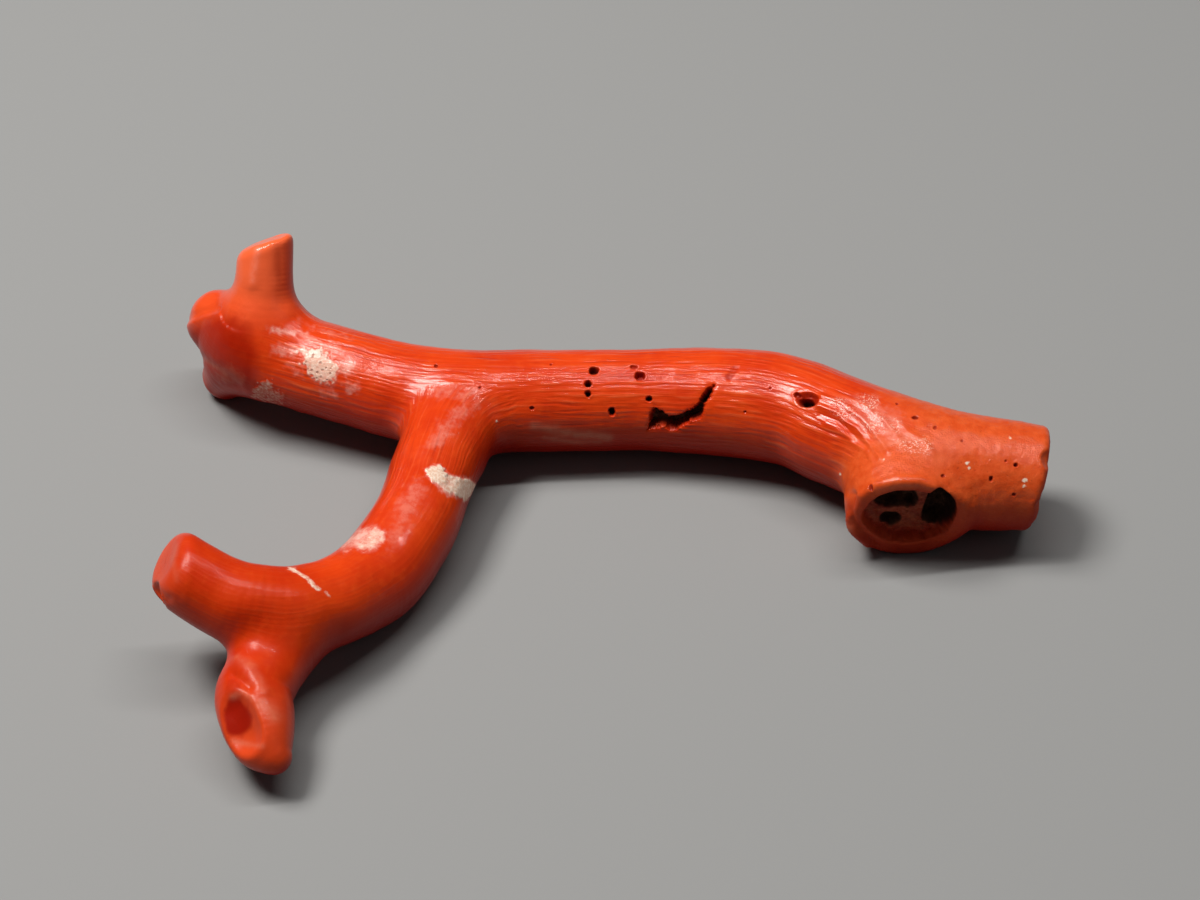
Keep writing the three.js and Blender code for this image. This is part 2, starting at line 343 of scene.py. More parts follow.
def split_long(V, F, lab, shortest=0.056):
    """Splits every edge longer than its target, and keeps the mesh whole."""
    E, fe = edges_of(F, len(V))
    mid = 0.5 * (V[E[:, 0]] + V[E[:, 1]])
    ln = np.linalg.norm(V[E[:, 0]] - V[E[:, 1]], axis=1)
    N = vert_normals(V, F)
    mark = ln > shortest
    ii = np.nonzero(mark)[0]
    mark[ii] = ln[ii] > longest(mid[ii], (N[E[ii, 0]] + N[E[ii, 1]]) @ TOCAM * 0.5)
    if not mark.any():
        return V, F, lab, False
    new = np.full(len(E), -1)
    new[mark] = len(V) + np.arange(mark.sum())
    V = np.vstack([V, to_skin(mid[mark], 1)])
    m = new[fe]
    has = m >= 0
    n = has.sum(1)
    out, own = [F[n == 0]], [lab[n == 0]]
    for r in range(3):
        s = (n == 1) & has[:, r]
        f, q = np.roll(F[s], -r, 1), np.roll(m[s], -r, 1)
        out += [np.stack([f[:, 0], q[:, 0], f[:, 2]], -1), np.stack([q[:, 0], f[:, 1], f[:, 2]], -1)]
        own += [lab[s]] * 2
        s = (n == 2) & has[:, r] & has[:, (r + 1) % 3]
        f, q = np.roll(F[s], -r, 1), np.roll(m[s], -r, 1)
        v0, v1, v2, a, b = f[:, 0], f[:, 1], f[:, 2], q[:, 0], q[:, 1]
        out.append(np.stack([a, v1, b], -1))
        one = np.linalg.norm(V[v0] - V[b], axis=1) < np.linalg.norm(V[a] - V[v2], axis=1)
        out.append(np.stack([v0, a, np.where(one, b, v2)], -1))
        out.append(np.stack([np.where(one, v0, a), b, v2], -1))
        own += [lab[s]] * 3
    s = n == 3
    f, q = F[s], m[s]
    out += [np.stack([f[:, 0], q[:, 0], q[:, 2]], -1), np.stack([q[:, 0], f[:, 1], q[:, 1]], -1),
            np.stack([q[:, 2], q[:, 1], f[:, 2]], -1), q]
    own += [lab[s]] * 4
    return V, np.vstack(out), np.concatenate(own), True


def pixel(P):
    """Where points show in a 1200 x 900 frame of the camera."""
    p = P - SHIFT
    dep = FAR - p @ TOCAM
    return 600 + FOCAL * p[:, 0] / dep, 450 - FOCAL * (p @ U) / dep


def poly_dist(px, py, poly, reach=14):
    """Distance in pixels to a closed outline, negative inside. Far points get a large value."""
    poly = np.asarray(poly, float)
    out = np.full(len(px), 99.0)
    lo, hi = poly.min(0) - reach, poly.max(0) + reach
    ii = np.nonzero((px > lo[0]) & (px < hi[0]) & (py > lo[1]) & (py < hi[1]))[0]
    if not len(ii):
        return out
    q = np.stack([px[ii], py[ii]], -1)
    best = np.full(len(ii), 1e9)
    inside = np.zeros(len(ii), bool)
    for a, b in zip(poly, np.roll(poly, -1, 0)):
        ab = b - a
        t = np.clip(((q - a) @ ab) / (ab @ ab), 0, 1)
        best = np.minimum(best, ((q - a - t[:, None] * ab) ** 2).sum(1))
        c = (a[1] > q[:, 1]) != (b[1] > q[:, 1])
        with np.errstate(divide="ignore", invalid="ignore"):
            x = (b[0] - a[0]) * (q[:, 1] - a[1]) / (b[1] - a[1]) + a[0]
        inside ^= c & (q[:, 0] < x)
    out[ii] = np.sqrt(best) * np.where(inside, -1, 1)
    return out


def line_dist(px, py, line):
    """Distance in pixels to an open line."""
    line = np.asarray(line, float)
    best = np.full(len(px), 1e9)
    q = np.stack([px, py], -1)
    for a, b in zip(line[:-1], line[1:]):
        ab = b - a
        t = np.clip(((q - a) @ ab) / (ab @ ab), 0, 1)
        best = np.minimum(best, ((q - a - t[:, None] * ab) ** 2).sum(1))
    return np.sqrt(best)


# ------------------------------------------------------------------ marks on the side seen
# Positions are in pixels of the 1200 x 900 frame; each is carried to the skin below it.
PORES = [  # x, y, half width, half height, depth in mm, painted shade inside
    (594, 371, 5.2, 3.6, 0.42, 0.80), (588, 384, 3.3, 3.3, 0.40, 0.85), (588, 394, 3.2, 3.2, 0.40, 0.9),
    (612, 412, 3.3, 4.3, 0.45, 0.92), (640, 376, 4.8, 4.4, 0.34, 0.16), (649, 399, 3.2, 3.0, 0.40, 0.85),
    (807.5, 399.5, 11.4, 7.8, 0.24, 0.22), (806, 402, 8.0, 5.0, 0.50, 0.90), (797, 395, 3.4, 2.8, 0.20, 0.30),
    (915, 418, 3.4, 1.7, 0.14, 0.34), (935, 428, 2.0, 1.8, 0.08, 0.16), (943, 476, 2.0, 1.7, 0.09, 0.22),
    (991, 479, 2.0, 3.0, 0.15, 0.42), (1016, 465, 2.3, 2.3, 0.18, 0.5), (1014, 495, 1.9, 1.7, 0.08, 0.24),
    (1006, 461, 1.3, 1.2, 0.05, 0.15), (872, 488, 2.0, 3.0, 0.08, 0.25),
    (532, 408, 2.4, 2.0, 0.12, 0.35), (634, 367, 3.4, 1.8, 0.12, 0.15), (436, 366, 1.8, 1.6, 0.10, 0.25),
    (897, 404, 1.6, 1.3, 0.07, 0.25), (962, 441, 1.3, 1.2, 0.06, 0.2), (480, 388, 1.5, 1.2, 0.07, 0.2),
    (551, 365, 1.4, 1.0, 0.06, 0.15), (745, 412, 1.5, 1.3, 0.08, 0.2), (770, 388, 1.4, 1.1, 0.07, 0.2),
]
SLITS = [((729, 376), (732, 372), (735, 368), 4.0, 0.045)]
CAVITY = [
    (714, 385), (707, 389), (702, 396), (700, 402), (692, 409), (684, 414), (676, 416),
    (668, 417), (662, 412), (655, 408), (652, 412), (650, 422), (648, 430), (655, 428),
    (662, 427), (670, 430), (676, 430), (682, 426), (690, 421), (698, 419), (702, 415),
    (702, 408), (709, 396),
]
LACE = [(299, 349), (312, 347), (322, 350), (330, 357), (338, 366), (336, 376), (330, 384),
        (322, 383), (314, 378), (306, 372), (300, 364), (303, 357), (296, 353)]
FLECKS = [  # cream scraps: outline, strength
    ([(268, 327), (278, 326), (292, 330), (298, 334), (284, 333), (272, 330)], 0.50),
    ([(298, 331), (308, 333), (315, 338), (305, 337)], 0.40),
    ([(272, 346), (288, 345), (300, 350), (297, 358), (282, 355), (272, 352)], 0.34),
    ([(314, 340), (334, 346), (344, 352), (328, 350)], 0.38),
    ([(338, 360), (350, 362), (354, 369), (346, 374), (337, 371)], 0.46),
    ([(344, 384), (356, 385), (359, 391), (350, 393)], 0.36),
    ([(288, 364), (298, 369), (305, 376), (296, 373)], 0.30),
    ([(316, 388), (330, 391), (338, 397), (326, 397)], 0.26),
    ([(300, 320), (325, 330), (352, 338), (325, 334)], 0.16),
]
SHEENS = [  # faint pale patches: outline, strength; the first, on the lower branch, is a painted highlight
    ([(398, 508), (408, 486), (420, 478), (426, 488), (418, 504), (408, 520), (400, 524)], 0.20),
    ([(428, 446), (440, 424), (458, 410), (478, 404), (470, 414), (452, 426), (440, 446)], 0.22),
    ([(428, 388), (446, 386), (462, 390), (480, 392), (466, 398), (444, 396)], 0.22),
    ([(384, 540), (396, 526), (408, 520), (404, 534), (392, 548)], 0.14),
    ([(846, 402), (872, 398), (898, 416), (908, 440), (888, 446), (866, 428)], 0.16),
]
BAND = [(424, 471), (431, 467), (440, 467), (448, 475), (460, 477), (471, 478), (475, 485),
        (472, 495), (466, 500), (456, 497), (447, 494), (437, 486), (428, 478)]
BAND_LUMPS = [
    ([(424, 471), (431, 467), (440, 467), (446, 474), (446, 482), (438, 484), (429, 478)], 1.0, 0.06),
    ([(438, 470), (448, 475), (460, 477), (464, 486), (456, 494), (445, 491), (438, 484)], 0.66, 0.02),
    ([(454, 479), (462, 478), (471, 479), (475, 485), (472, 494), (466, 500), (456, 496), (451, 488)], 0.88, 0.05),
]
EDGE_PATCH = [(344, 551), (343, 545), (352, 536), (362, 529), (374, 527), (384, 531),
              (383, 541), (374, 549), (362, 550), (354, 547)]
UNDER_PATCH = [(252, 396), (253, 389), (262, 383), (263, 378), (270, 380), (276, 388),
               (282, 398), (288, 404), (276, 405), (264, 401)]
KNOB_FRONT = [(180, 326), (192, 319), (205, 314), (220, 311), (238, 311), (254, 324), (264, 356), (262, 400),
              (205, 402), (184, 350)]
HAZE_PATCH = [(214, 366), (228, 367), (240, 373), (246, 380), (240, 386), (226, 384), (214, 376)]
PALE_LINES = [  # thin pale streaks: line, half width, strength
    ([(289, 567), (299, 573), (309, 580), (319, 590)], 3.0, 0.62),
    ([(325, 592), (329, 597)], 2.4, 0.35),
]
SPECKS = [  # tiny white grains: x, y, radius
    (496, 421, 1.5), (840, 474, 1.6), (1025, 480, 2.9), (1024, 486, 2.0), (1010, 438, 1.7),
    (967, 463, 2.2), (969, 468, 1.4), (960, 452, 1.0), (976, 452, 1.0), (884, 460, 0.9),
]
RUBS = [(875, 425, 14, 12), (868, 403, 12, 9), (915, 446, 17, 11), (846, 411, 14, 9),
        (895, 426, 8, 7), (838, 404, 10, 6), (925, 448, 8, 9)]
RIDGES = [  # raised or sunk lines: line, half width in pixels, height in mm, limb
    ([(203, 358), (213, 366), (225, 375), (237, 385)], 4.0, -0.05, ("stem", "lobe")),
    ([(256, 250), (255, 266), (253, 284)], 6.0, 0.07, ("upright",)),
    ([(280, 236), (280, 268), (283, 302)], 7.0, -0.06, ("upright",)),
    ([(238, 660), (250, 667), (258, 677), (265, 690)], 7.0, 0.08, ("tip_twig", "lower")),
    ([(233, 675), (241, 680), (248, 686)], 6.0, -0.15, ("tip_twig",)),
    ([(184, 547), (185, 562), (186, 576)], 5.0, -0.02, ("lower",)),
    ([(188, 574), (187, 590), (184, 602)], 4.5, 0.03, ("lower",)),
    ([(148, 588), (156, 593), (166, 600)], 6.0, -0.11, ("lower",)),
    ([(822, 396), (840, 401), (852, 411), (862, 418), (874, 432), (888, 452)], 2.8, 0.08, ("stem", "stub")),
    ([(818, 406), (834, 411), (846, 422), (858, 429), (868, 443), (880, 458)], 2.6, 0.08, ("stem", "stub")),
    ([(826, 424), (842, 431), (852, 442), (866, 450), (872, 460)], 3.0, 0.07, ("stem", "stub")),
    ([(820, 414), (838, 420), (850, 432), (866, 447)], 2.6, -0.06, ("stem", "stub")),
    ([(862, 404), (874, 414), (884, 420), (898, 438)], 2.6, 0.06, ("stem", "stub")),
    ([(897, 420), (908, 432), (922, 440), (934, 454)], 2.8, 0.05, ("stem", "stub")),
    ([(853, 494), (850, 510), (854, 523), (865, 535), (877, 545)], 3.0, -0.16, ("stub", "stem")),
    ([(841, 498), (841, 512), (847, 524), (857, 533), (868, 542)], 4.4, 0.22, ("stub", "stem")),
    ([(862, 495), (875, 486), (898, 481), (920, 481), (934, 487)], 4.6, 0.12, ("stub",)),
]
FINE_LINES = [[(186, 322), (197, 315), (210, 311), (222, 309), (236, 312)]] + [RIDGES[i][0] for i in (2, 3, 4)]
HAZE_AND_HIGHLIGHT_LINES = [  # pale streaks: line, half width, strength; the two on the tip twig's ridge and beside its broken face are painted highlights
    ([(534, 426), (560, 431), (585, 435), (609, 438)], 4.2, 0.34), ([(545, 437), (575, 442), (600, 442)], 2.6, 0.2),
    ([(233, 697), (242, 691), (252, 699)], 3.4, 0.20), ([(238, 659), (252, 667), (263, 689)], 4.6, 0.16),
    ([(233, 741), (247, 744), (262, 746)], 3.0, 0.18), ([(204, 359), (214, 367), (226, 376)], 2.2, 0.20),
    ([(176, 546), (172, 560), (177, 580)], 3.6, 0.10), ([(841, 500), (841, 515), (851, 528)], 3.0, 0.28),
    ([(262, 705), (270, 709), (275, 716)], 7.0, 0.22),
]
STUB_HOLLOW = [(862, 521), (866, 508), (877, 498), (893, 492), (912, 491), (930, 493), (940, 491),
               (949, 495), (956, 504), (956, 516), (948, 530), (934, 538), (914, 542), (892, 541),
               (874, 534)]
BORES = [  # outline, depth
    ([(932, 492), (940, 488), (948, 493), (956, 503), (955, 516), (949, 525), (940, 531),
      (929, 531), (922, 526), (924, 515), (929, 503)], 0.9),
    ([(874, 510), (882, 500), (894, 495), (906, 494), (915, 499), (919, 508), (913, 515),
      (900, 514), (886, 515)], 0.6),
    ([(880, 527), (886, 521), (896, 521), (902, 526), (896, 532), (885, 532)], 0.5),
]


def rounded(poly, per=4):
    """The same closed outline with its corners run round."""
    p = [tuple(q) for q in poly]
    q = np.asarray(p[-1:] + p + p[:2], float)
    t = (np.arange(per) / per)[:, None]
    out = []
    for i in range(1, len(q) - 2):
        a, b, c, d = q[i - 1], q[i], q[i + 1], q[i + 2]
        out.append(0.5 * (2 * b + (c - a) * t + (2 * a - 5 * b + 4 * c - d) * t * t
                          + (-a + 3 * b - 3 * c + d) * t ** 3))
    return np.vstack(out)


STUB_HOLLOW = rounded(STUB_HOLLOW)
BORES = [(rounded(o), dep) for o, dep in BORES]


def fine_spots(P, facing):
    """1 near small marks on the side seen, falling to 0 away from them."""
    x, y = pixel(P)
    near = np.full(len(P), 99.0)
    for cx, cy, a, b, dep, dk in PORES:
        near = np.minimum(near, np.hypot(x - cx, y - cy) - max(a, b))
    for poly in (CAVITY, BAND, LACE, EDGE_PATCH, STUB_HOLLOW, BORES[0][0], UNDER_PATCH):
        near = np.minimum(near, np.abs(poly_dist(x, y, poly, 8)) - 1)
    near = np.minimum(near, poly_dist(x, y, CAVITY, 8))
    for line in FINE_LINES:
        near = np.minimum(near, line_dist(x, y, line) - 2.5)
    near = np.minimum(near, poly_dist(x, y, STUB_HOLLOW, 8) + 0.5)
    for a, b, c, w, dep in SLITS:
        near = np.minimum(near, line_dist(x, y, (a, b, c)) - w)
    near[facing < -0.05] = 99.0         # only the side that faces the camera
    return 1 - smooth(1.5, 5.0, near)


HIDDEN = []     # marks where the camera doesn't see: centre, normal, along, a, b, kind


def longest(M, facing):
    f = fine_spots(M, facing)
    out = np.where(facing > -0.1, 0.135, 0.165) * (1 - f) + 0.057 * f
    for c, n, t, a, b, kind in HIDDEN:
        r = np.linalg.norm(M - c, axis=1)
        out = np.where(r < 1.5 * max(a, b) + 0.15, np.minimum(out, 0.075), out)
    return out


def along_path(P, C):
    """Length along a centre line, and the two directions across it, for each point."""
    A, B = C[:-1], C[1:]
    AB = B - A
    L = np.linalg.norm(AB, axis=1)
    S0 = np.concatenate([[0], np.cumsum(L)])
    T = np.zeros_like(C)
    T[1:-1] = C[2:] - C[:-2]
    T[0], T[-1] = AB[0], AB[-1]
    T /= np.linalg.norm(T, axis=1)[:, None]
    s = np.zeros(len(P))
    a = np.zeros(len(P))
    b = np.zeros(len(P))
    aab = (A * AB).sum(1)
    a2 = (A ** 2).sum(1)
    for k in range(0, len(P), 16384):
        Q = P[k:k + 16384]
        qab = Q @ AB.T
        t = np.clip((qab - aab) / L ** 2, 0, 1)
        s2 = (Q ** 2).sum(1)[:, None] - 2 * (Q @ A.T) + a2 + t * t * L ** 2 - 2 * t * (qab - aab)
        j = s2.argmin(1)
        row = np.arange(len(Q))
        tt = t[row, j]
        cen = A[j] + tt[:, None] * AB[j]
        tan = T[j] * (1 - tt)[:, None] + T[j + 1] * tt[:, None]
        tan /= np.linalg.norm(tan, axis=1)[:, None]
        up = np.array([0, 0, 1.0]) - tan[:, 2:3] * tan
        up /= np.linalg.norm(up, axis=1)[:, None]
        side = np.cross(tan, up)
        v = Q - cen
        a[k:k + 16384] = (v * up).sum(1)
        b[k:k + 16384] = (v * side).sum(1)
        s[k:k + 16384] = S0[j] + tt * L[j]
    return s, a, b


def build_skin():
    for h in (0.44, 0.43, 0.45, 0.42, 0.41, 0.40):
        V, Q = surface_net(h)
        e = np.vstack([Q[:, [0, 1]], Q[:, [1, 2]], Q[:, [2, 3]], Q[:, [3, 0]]])
        e.sort(axis=1)
        _, c = np.unique(e[:, 0].astype(np.int64) * len(V) + e[:, 1], return_counts=True)
        if (c == 2).all():
            break
    V = to_skin(V, 3)
    d1 = np.linalg.norm(V[Q[:, 0]] - V[Q[:, 2]], axis=1) < np.linalg.norm(V[Q[:, 1]] - V[Q[:, 3]], axis=1)
    F = np.vstack([np.where(d1[:, None], Q[:, [0, 1, 2]], Q[:, [0, 1, 3]]),
                   np.where(d1[:, None], Q[:, [0, 2, 3]], Q[:, [1, 2, 3]])])
    for _ in range(3):
        V = to_skin(relax(V, F, 2), 2)
    place_hidden(V, F)
    lab = node_labels(V, F)
    for _ in range(7):
        V, F, lab, more = split_long(V, F, lab)
        if not more:
            break
    V = to_skin(relax(V, F, 2, 0.4), 1)
    return V, F, lab


def place_hidden(V, F):
    """Seeded pores and crusts on the back and the underside, as on the side seen."""
    N = vert_normals(V, F)
    rng = np.random.default_rng(SEED + 7)
    x, y = pixel(V)
    hid = (N @ TOCAM < -0.25) & (V[:, 2] > 0.25) & (V[:, 0] > -15) & (V[:, 0] < 20)
    ids = np.nonzero(hid)[0]
    kinds = ["pore"] * 17 + ["crust"] * 5 + ["slot"] * 2
    used = []
    for kind in kinds:
        for _ in range(60):
            i = ids[rng.integers(len(ids))]
            if all(np.linalg.norm(V[i] - u) > 1.3 for u in used):
                break
        used.append(V[i])
        n = N[i]
        t = np.array([-1.0, 0.15, 0.0])
        t = unit(t - (t @ n) * n)
        if kind == "pore":
            a = rng.uniform(0.11, 0.24)
            HIDDEN.append((V[i], n, t, a * rng.uniform(1.0, 1.35), a, kind))
        elif kind == "crust":
            HIDDEN.append((V[i], n, t, rng.uniform(0.8, 1.5), rng.uniform(0.5, 0.8), kind))
        else:
            HIDDEN.append((V[i], n, t, rng.uniform(0.6, 0.9), 0.16, kind))


# ------------------------------------------------------------------ relief and masks
def dress(V, F):
    """Moves the skin for its relief, and gives each point the masks that the material reads."""
    N = vert_normals(V, F)
    d, g = field(V)
    x, y = pixel(V)
    facing = N @ TOCAM
    front = smooth(0.0, 0.18, facing)
    got = {n: v[0] for n, v in limb_fields(V).items()}
    names = list(got)
    near = np.stack([got[n] for n in names], -1).argmin(1)
    limb = {n: near == i for i, n in enumerate(names)}

    # paths for the grooves: one through the left branch, one into the lower branch
    stem = CURVES["stem"][:, :3]
    low = CURVES["lower"][:, :3]
    keep = stem[stem[:, 0] > -3.4 + SHIFT[0]]
    mid = np.array([(-5.2, 0.25, 3.0), (-6.9, -0.75, 3.02), (-7.9, -2.4, 3.0), (-8.45, -4.4, 2.88)]) + SHIFT
    bend = spline([tuple(q) + (0,) for q in (keep[-1], *mid, low[15])], 8)[1:-1, :3]
    path_b = np.vstack([keep, bend, low[15:]])
    path_a = stem
    sa, ua, wa = along_path(V, path_a)
    sb, ub, wb = along_path(V, path_b)
    da, db = np.hypot(ua, wa), np.hypot(ub, wb)
    # which path: the side of the stem towards the viewer turns into the lower branch
    p = V - SHIFT
    edge = -1.75 - 1.6 * smooth(-9.0, -10.9, p[:, 0])
    mixb = smooth(0.5, -0.5, wa - edge)
    R = 2.65
    A = np.stack([ua / da * R, wa / da * R, sa], -1)
    B = np.stack([ub / db * R, wb / db * R, sb], -1)

    px_x = p[:, 0]
    # strength of the lengthwise grooves
    stria = smooth(17.5, 12.0, px_x) * (1 - 0.78 * smooth(-4.5, -9.5, np.where(limb["lower"] | limb["tip_twig"], p[:, 1], 0.0)))
    stria *= 1 - 0.85 * smooth(-15.5, -18.5, px_x) * (p[:, 1] > -3)
    stria = np.where(limb["upright"] | limb["lobe"] | limb["tip_twig"], 0.08, stria)
    stria = np.where(limb["stub"], 0.05, stria)
    stria *= 1 - 0.62 * np.exp(-((x - 476) / 40) ** 2 - ((y - 425) / 44) ** 2)
    E, _ = edges_of(F, len(V))
    deg = np.bincount(E.ravel(), minlength=len(V)).astype(float)
    for _ in range(8):
        stria = neighbour_mean(stria[:, None], E, deg)[:, 0] * 0.5 + stria * 0.5

    h = 0.045 * noise(V, 3.4, 1) + 0.022 * noise(V, 1.3, 2) + 0.008 * noise(V, 0.55, 3)
    # broad flutes that the fine grooves follow
    for cyl, wgt in ((A, 1 - mixb), (B, mixb)):
        q = cyl * np.array([1, 1, 0.16])
        h += wgt * stria * (0.030 * noise(q, 0.95, 4) + 0.014 * noise(q, 0.5, 5))
    # worn right end: coarser, pitted
    dull = smooth(13.2, 16.8, px_x + 0.35 * noise(V, 1.6, 6))
    dull = np.maximum(dull, smooth(-4.6, -6.2, np.where(px_x > 9, p[:, 1], 0)) * smooth(11, 12.5, px_x))
    h += dull * (0.016 * noise(V, 0.42, 7) + 0.010 * noise(V, 0.2, 8))

    cream = np.zeros(len(V))
    lace = np.zeros(len(V))
    hole_shade = np.zeros(len(V))
    haze_and_highlight = np.zeros(len(V))
    veil_and_sheen = np.zeros(len(V))
    rub = np.zeros(len(V))
    mud = np.zeros(len(V))
    deep_red_and_shade = np.zeros(len(V))
    matt = np.zeros(len(V))
    push = np.zeros((len(V), 3))
    n1 = noise(V, 0.16, 9)
    n2 = noise(V, 0.34, 10)
    n3 = noise(V, 0.09, 11)

    def upper(mask, names_):
        sel = np.zeros(len(V), bool)
        for nm in names_:
            sel |= limb[nm]
        return mask * sel

    # pores
    for cx, cy, a, b, dep, dk in PORES:
        q = np.hypot((x - cx) / a, (y - cy) / b)
        w = front * (q < 2.6)
        qq = q + (0.16 * n1 + 0.08 * n3) * min(1.0, 3.6 / a)
        h -= w * dep * (1 - smooth(0.50, 1.12, qq))
        h += w * min(dep, 0.3) * 0.035 * np.exp(-((q - 1.4) / 0.25) ** 2)
        # painted shade: near-black inside each pore, and a deeper red round it
        hole_shade = np.maximum(hole_shade, w * (1 - smooth(0.66, 1.08, qq)) * dk)
        deep_red_and_shade = np.maximum(deep_red_and_shade, w * (1 - smooth(0.9, 1.15, qq)) * 0.8)
        matt = np.maximum(matt, w * (1 - smooth(0.95, 1.2, qq)))
        if a > 8:       # the large hole has a worn lip
            haze_and_highlight = np.maximum(haze_and_highlight, w * np.exp(-((q - 1.16) / 0.14) ** 2) * smooth(-2, 4, y - cy) * 0.14)
    for a, b, c, wd, dep in SLITS:
        q = line_dist(x, y, (a, b, c)) / wd
        w = front * (q < 3)
        h -= w * dep * (1 - smooth(0.1, 1.35, q + 0.1 * n1))
        deep_red_and_shade = np.maximum(deep_red_and_shade, w * (1 - smooth(0.5, 1.2, q)) * (0.45 + 0.35 * smooth(370, 378, y)))
        matt = np.maximum(matt, w * (1 - smooth(0.8, 1.5, q)))
    # the ragged cavity
    q = poly_dist(x, y, CAVITY) + 0.9 * n1 + 0.6 * n3 - 0.7
    w = front * (q < 12) * (limb["stem"])
    h -= w * (1 - smooth(-3.4, 0.7, q)) * (0.70 + 0.18 * n2)
    h -= w * 0.03 * (1 - smooth(0.5, 4.5, q))
    # painted shade: near-black in the cavity, less so at its left end, and a deeper red round its rim
    hole_shade = np.maximum(hole_shade, w * (1 - smooth(-1.6, 0.5, q)) * (0.74 - 0.24 * smooth(700, 680, x)))
    deep_red_and_shade = np.maximum(deep_red_and_shade, w * 0.5 * (1 - smooth(-1.0, 3.0, q)))
    matt = np.maximum(matt, w * (1 - smooth(0.5, 3.0, q)))
    mud = np.maximum(mud, w * (1 - smooth(-4.0, -1.5, q)))

    # cream crusts
    def crust(poly, strength, raise_, ragged=1.2, soft=1.2, reach=14):
        q = poly_dist(x, y, poly, reach) + ragged * (0.8 * n1 + 0.9 * n2 + 0.5 * n3)
        w = front * (q < 40)
        m = w * (1 - smooth(-soft, soft, q))
        return m * strength, m * raise_
    m, r = crust(LACE, 0.66, 0.03, 3.4, 3.0)
    cream = np.maximum(cream, m); h += r
    lace = np.maximum(lace, m)
    m, r = crust(LACE, 0.55, 0.0, 4.0, 6.0)
    veil_and_sheen = np.maximum(veil_and_sheen, m)
    for poly, st in FLECKS:
        m, r = crust(poly, st, 0.006, 3.4, 4.0)
        veil_and_sheen = np.maximum(veil_and_sheen, 1.15 * m); h += r
        cream = np.maximum(cream, 0.35 * m)
    for poly, st in SHEENS:
        m, r = crust(poly, st, 0.0, 5.0, 7.0)
        veil_and_sheen = np.maximum(veil_and_sheen, m)
    for poly, st, up in BAND_LUMPS:
        m, r = crust(poly, st, up, 1.8, 2.0)
        cream = np.maximum(cream, m); h += r
    m, r = crust(EDGE_PATCH, 0.80, 0.02, 1.8, 4.0)
    veil_and_sheen = np.maximum(veil_and_sheen, m); h += r
    m, r = crust(EDGE_PATCH[4:11], 0.42, 0.0, 2.5, 3.5)
    cream = np.maximum(cream, m)
    m, r = crust(BAND, 0.70, 0.0, 2.0, 3.0)
    veil_and_sheen = np.maximum(veil_and_sheen, m)
    m, r = crust(UNDER_PATCH, 0.40, 0.03, 4.2, 3.4)
    cream = np.maximum(cream, m); h += r
    m, r = crust(HAZE_PATCH, 0.12, 0.01, 3.0, 3.2)
    haze_and_highlight = np.maximum(haze_and_highlight, m); h += r
    for line, wd, st in PALE_LINES:
        q = line_dist(x, y, line) / wd
        m = front * st * (1 - smooth(0.3, 1.2, q + 0.35 * n1 + 0.2 * n2))
        cream = np.maximum(cream, m)
    # pale streaks, two of them painted highlights
    for line, wd, st in HAZE_AND_HIGHLIGHT_LINES:
        q = line_dist(x, y, line) / wd
        haze_and_highlight = np.maximum(haze_and_highlight, front * st * np.exp(-(q + 0.25 * n2) ** 2))
    # painted shade: a deeper red on the tip twig's broken face, which faces away from the light
    q = np.hypot((x - 237) / 16, (y - 717) / 23)
    deep_red_and_shade = np.maximum(deep_red_and_shade, limb["tip_twig"] * front * (1 - smooth(0.6, 1.2, q + 0.2 * n2)))
    matt = np.maximum(matt, limb["tip_twig"] * front * (1 - smooth(1.1, 1.9, q)))
    matt = np.maximum(matt, 0.65 * front * smooth(632, 642, y) * smooth(700, 684, y) * smooth(276, 262, x) * (x < 290))
    # painted shade: a deeper red under the fork, above the tip twig
    q = np.hypot((x - 218) / 36, (y - 648) / 24)
    deep_red_and_shade = np.maximum(deep_red_and_shade, 0.50 * front * (limb["lower"] | limb["tip_twig"]) * (1 - smooth(0.3, 1.2, q)))
    q = np.hypot((x - 237) / 16, (y - 717) / 23)
    # painted shade: a deeper red in the crease above the tip twig's face
    q = np.hypot((x - 233) / 11, (y - 688) / 12)
    deep_red_and_shade = np.maximum(deep_red_and_shade, 0.55 * limb["tip_twig"] * front * (1 - smooth(0.5, 1.3, q + 0.2 * n2)))
    q = poly_dist(x, y, KNOB_FRONT, 20)
    # painted shade: a deeper red on the end knob's front, which faces away from the light
    deep_red_and_shade = np.maximum(deep_red_and_shade, 0.80 * front * (1 - smooth(-16.0, 3.0, q + 2 * n2)))
    matt = np.maximum(matt, front * (1 - smooth(-14.0, -5.0, q)))
    step = smooth(252, 204, x) * smooth(378, 334, y) * front * (limb["stem"] | limb["lobe"])
    h += 0.14 * step * (1 - smooth(-5.0, 1.0, q))
    h -= 0.05 * step * np.exp(-((q - 3.5) / 3.5) ** 2)
    # painted shade: a deeper red along the groove on the upright twig's shaded side
    q = line_dist(x, y, [(280, 244), (280, 268), (281, 292)]) / 5.0
    deep_red_and_shade = np.maximum(deep_red_and_shade, 0.36 * limb["upright"] * front * np.exp(-q * q)
                      * smooth(242, 256, y) * smooth(298, 276, y))
    # painted highlight: a pale streak down the front of the upright twig
    q = line_dist(x, y, [(258, 250), (255, 264), (253, 280)]) / 3.4
    veil_and_sheen = np.maximum(veil_and_sheen, 0.17 * limb["upright"] * front * np.exp(-q * q))
    # the two twigs of the lower branch have a satin skin
    matt = np.maximum(matt, 0.88 * front * (limb["lower"] | limb["tip_twig"]) * smooth(365, 325, x) * smooth(530, 548, y))
    deep_red_and_shade = np.maximum(deep_red_and_shade, 0.30 * smooth(-12.0, -15.5, px_x) * smooth(-12.5, -14.5, p[:, 1]))
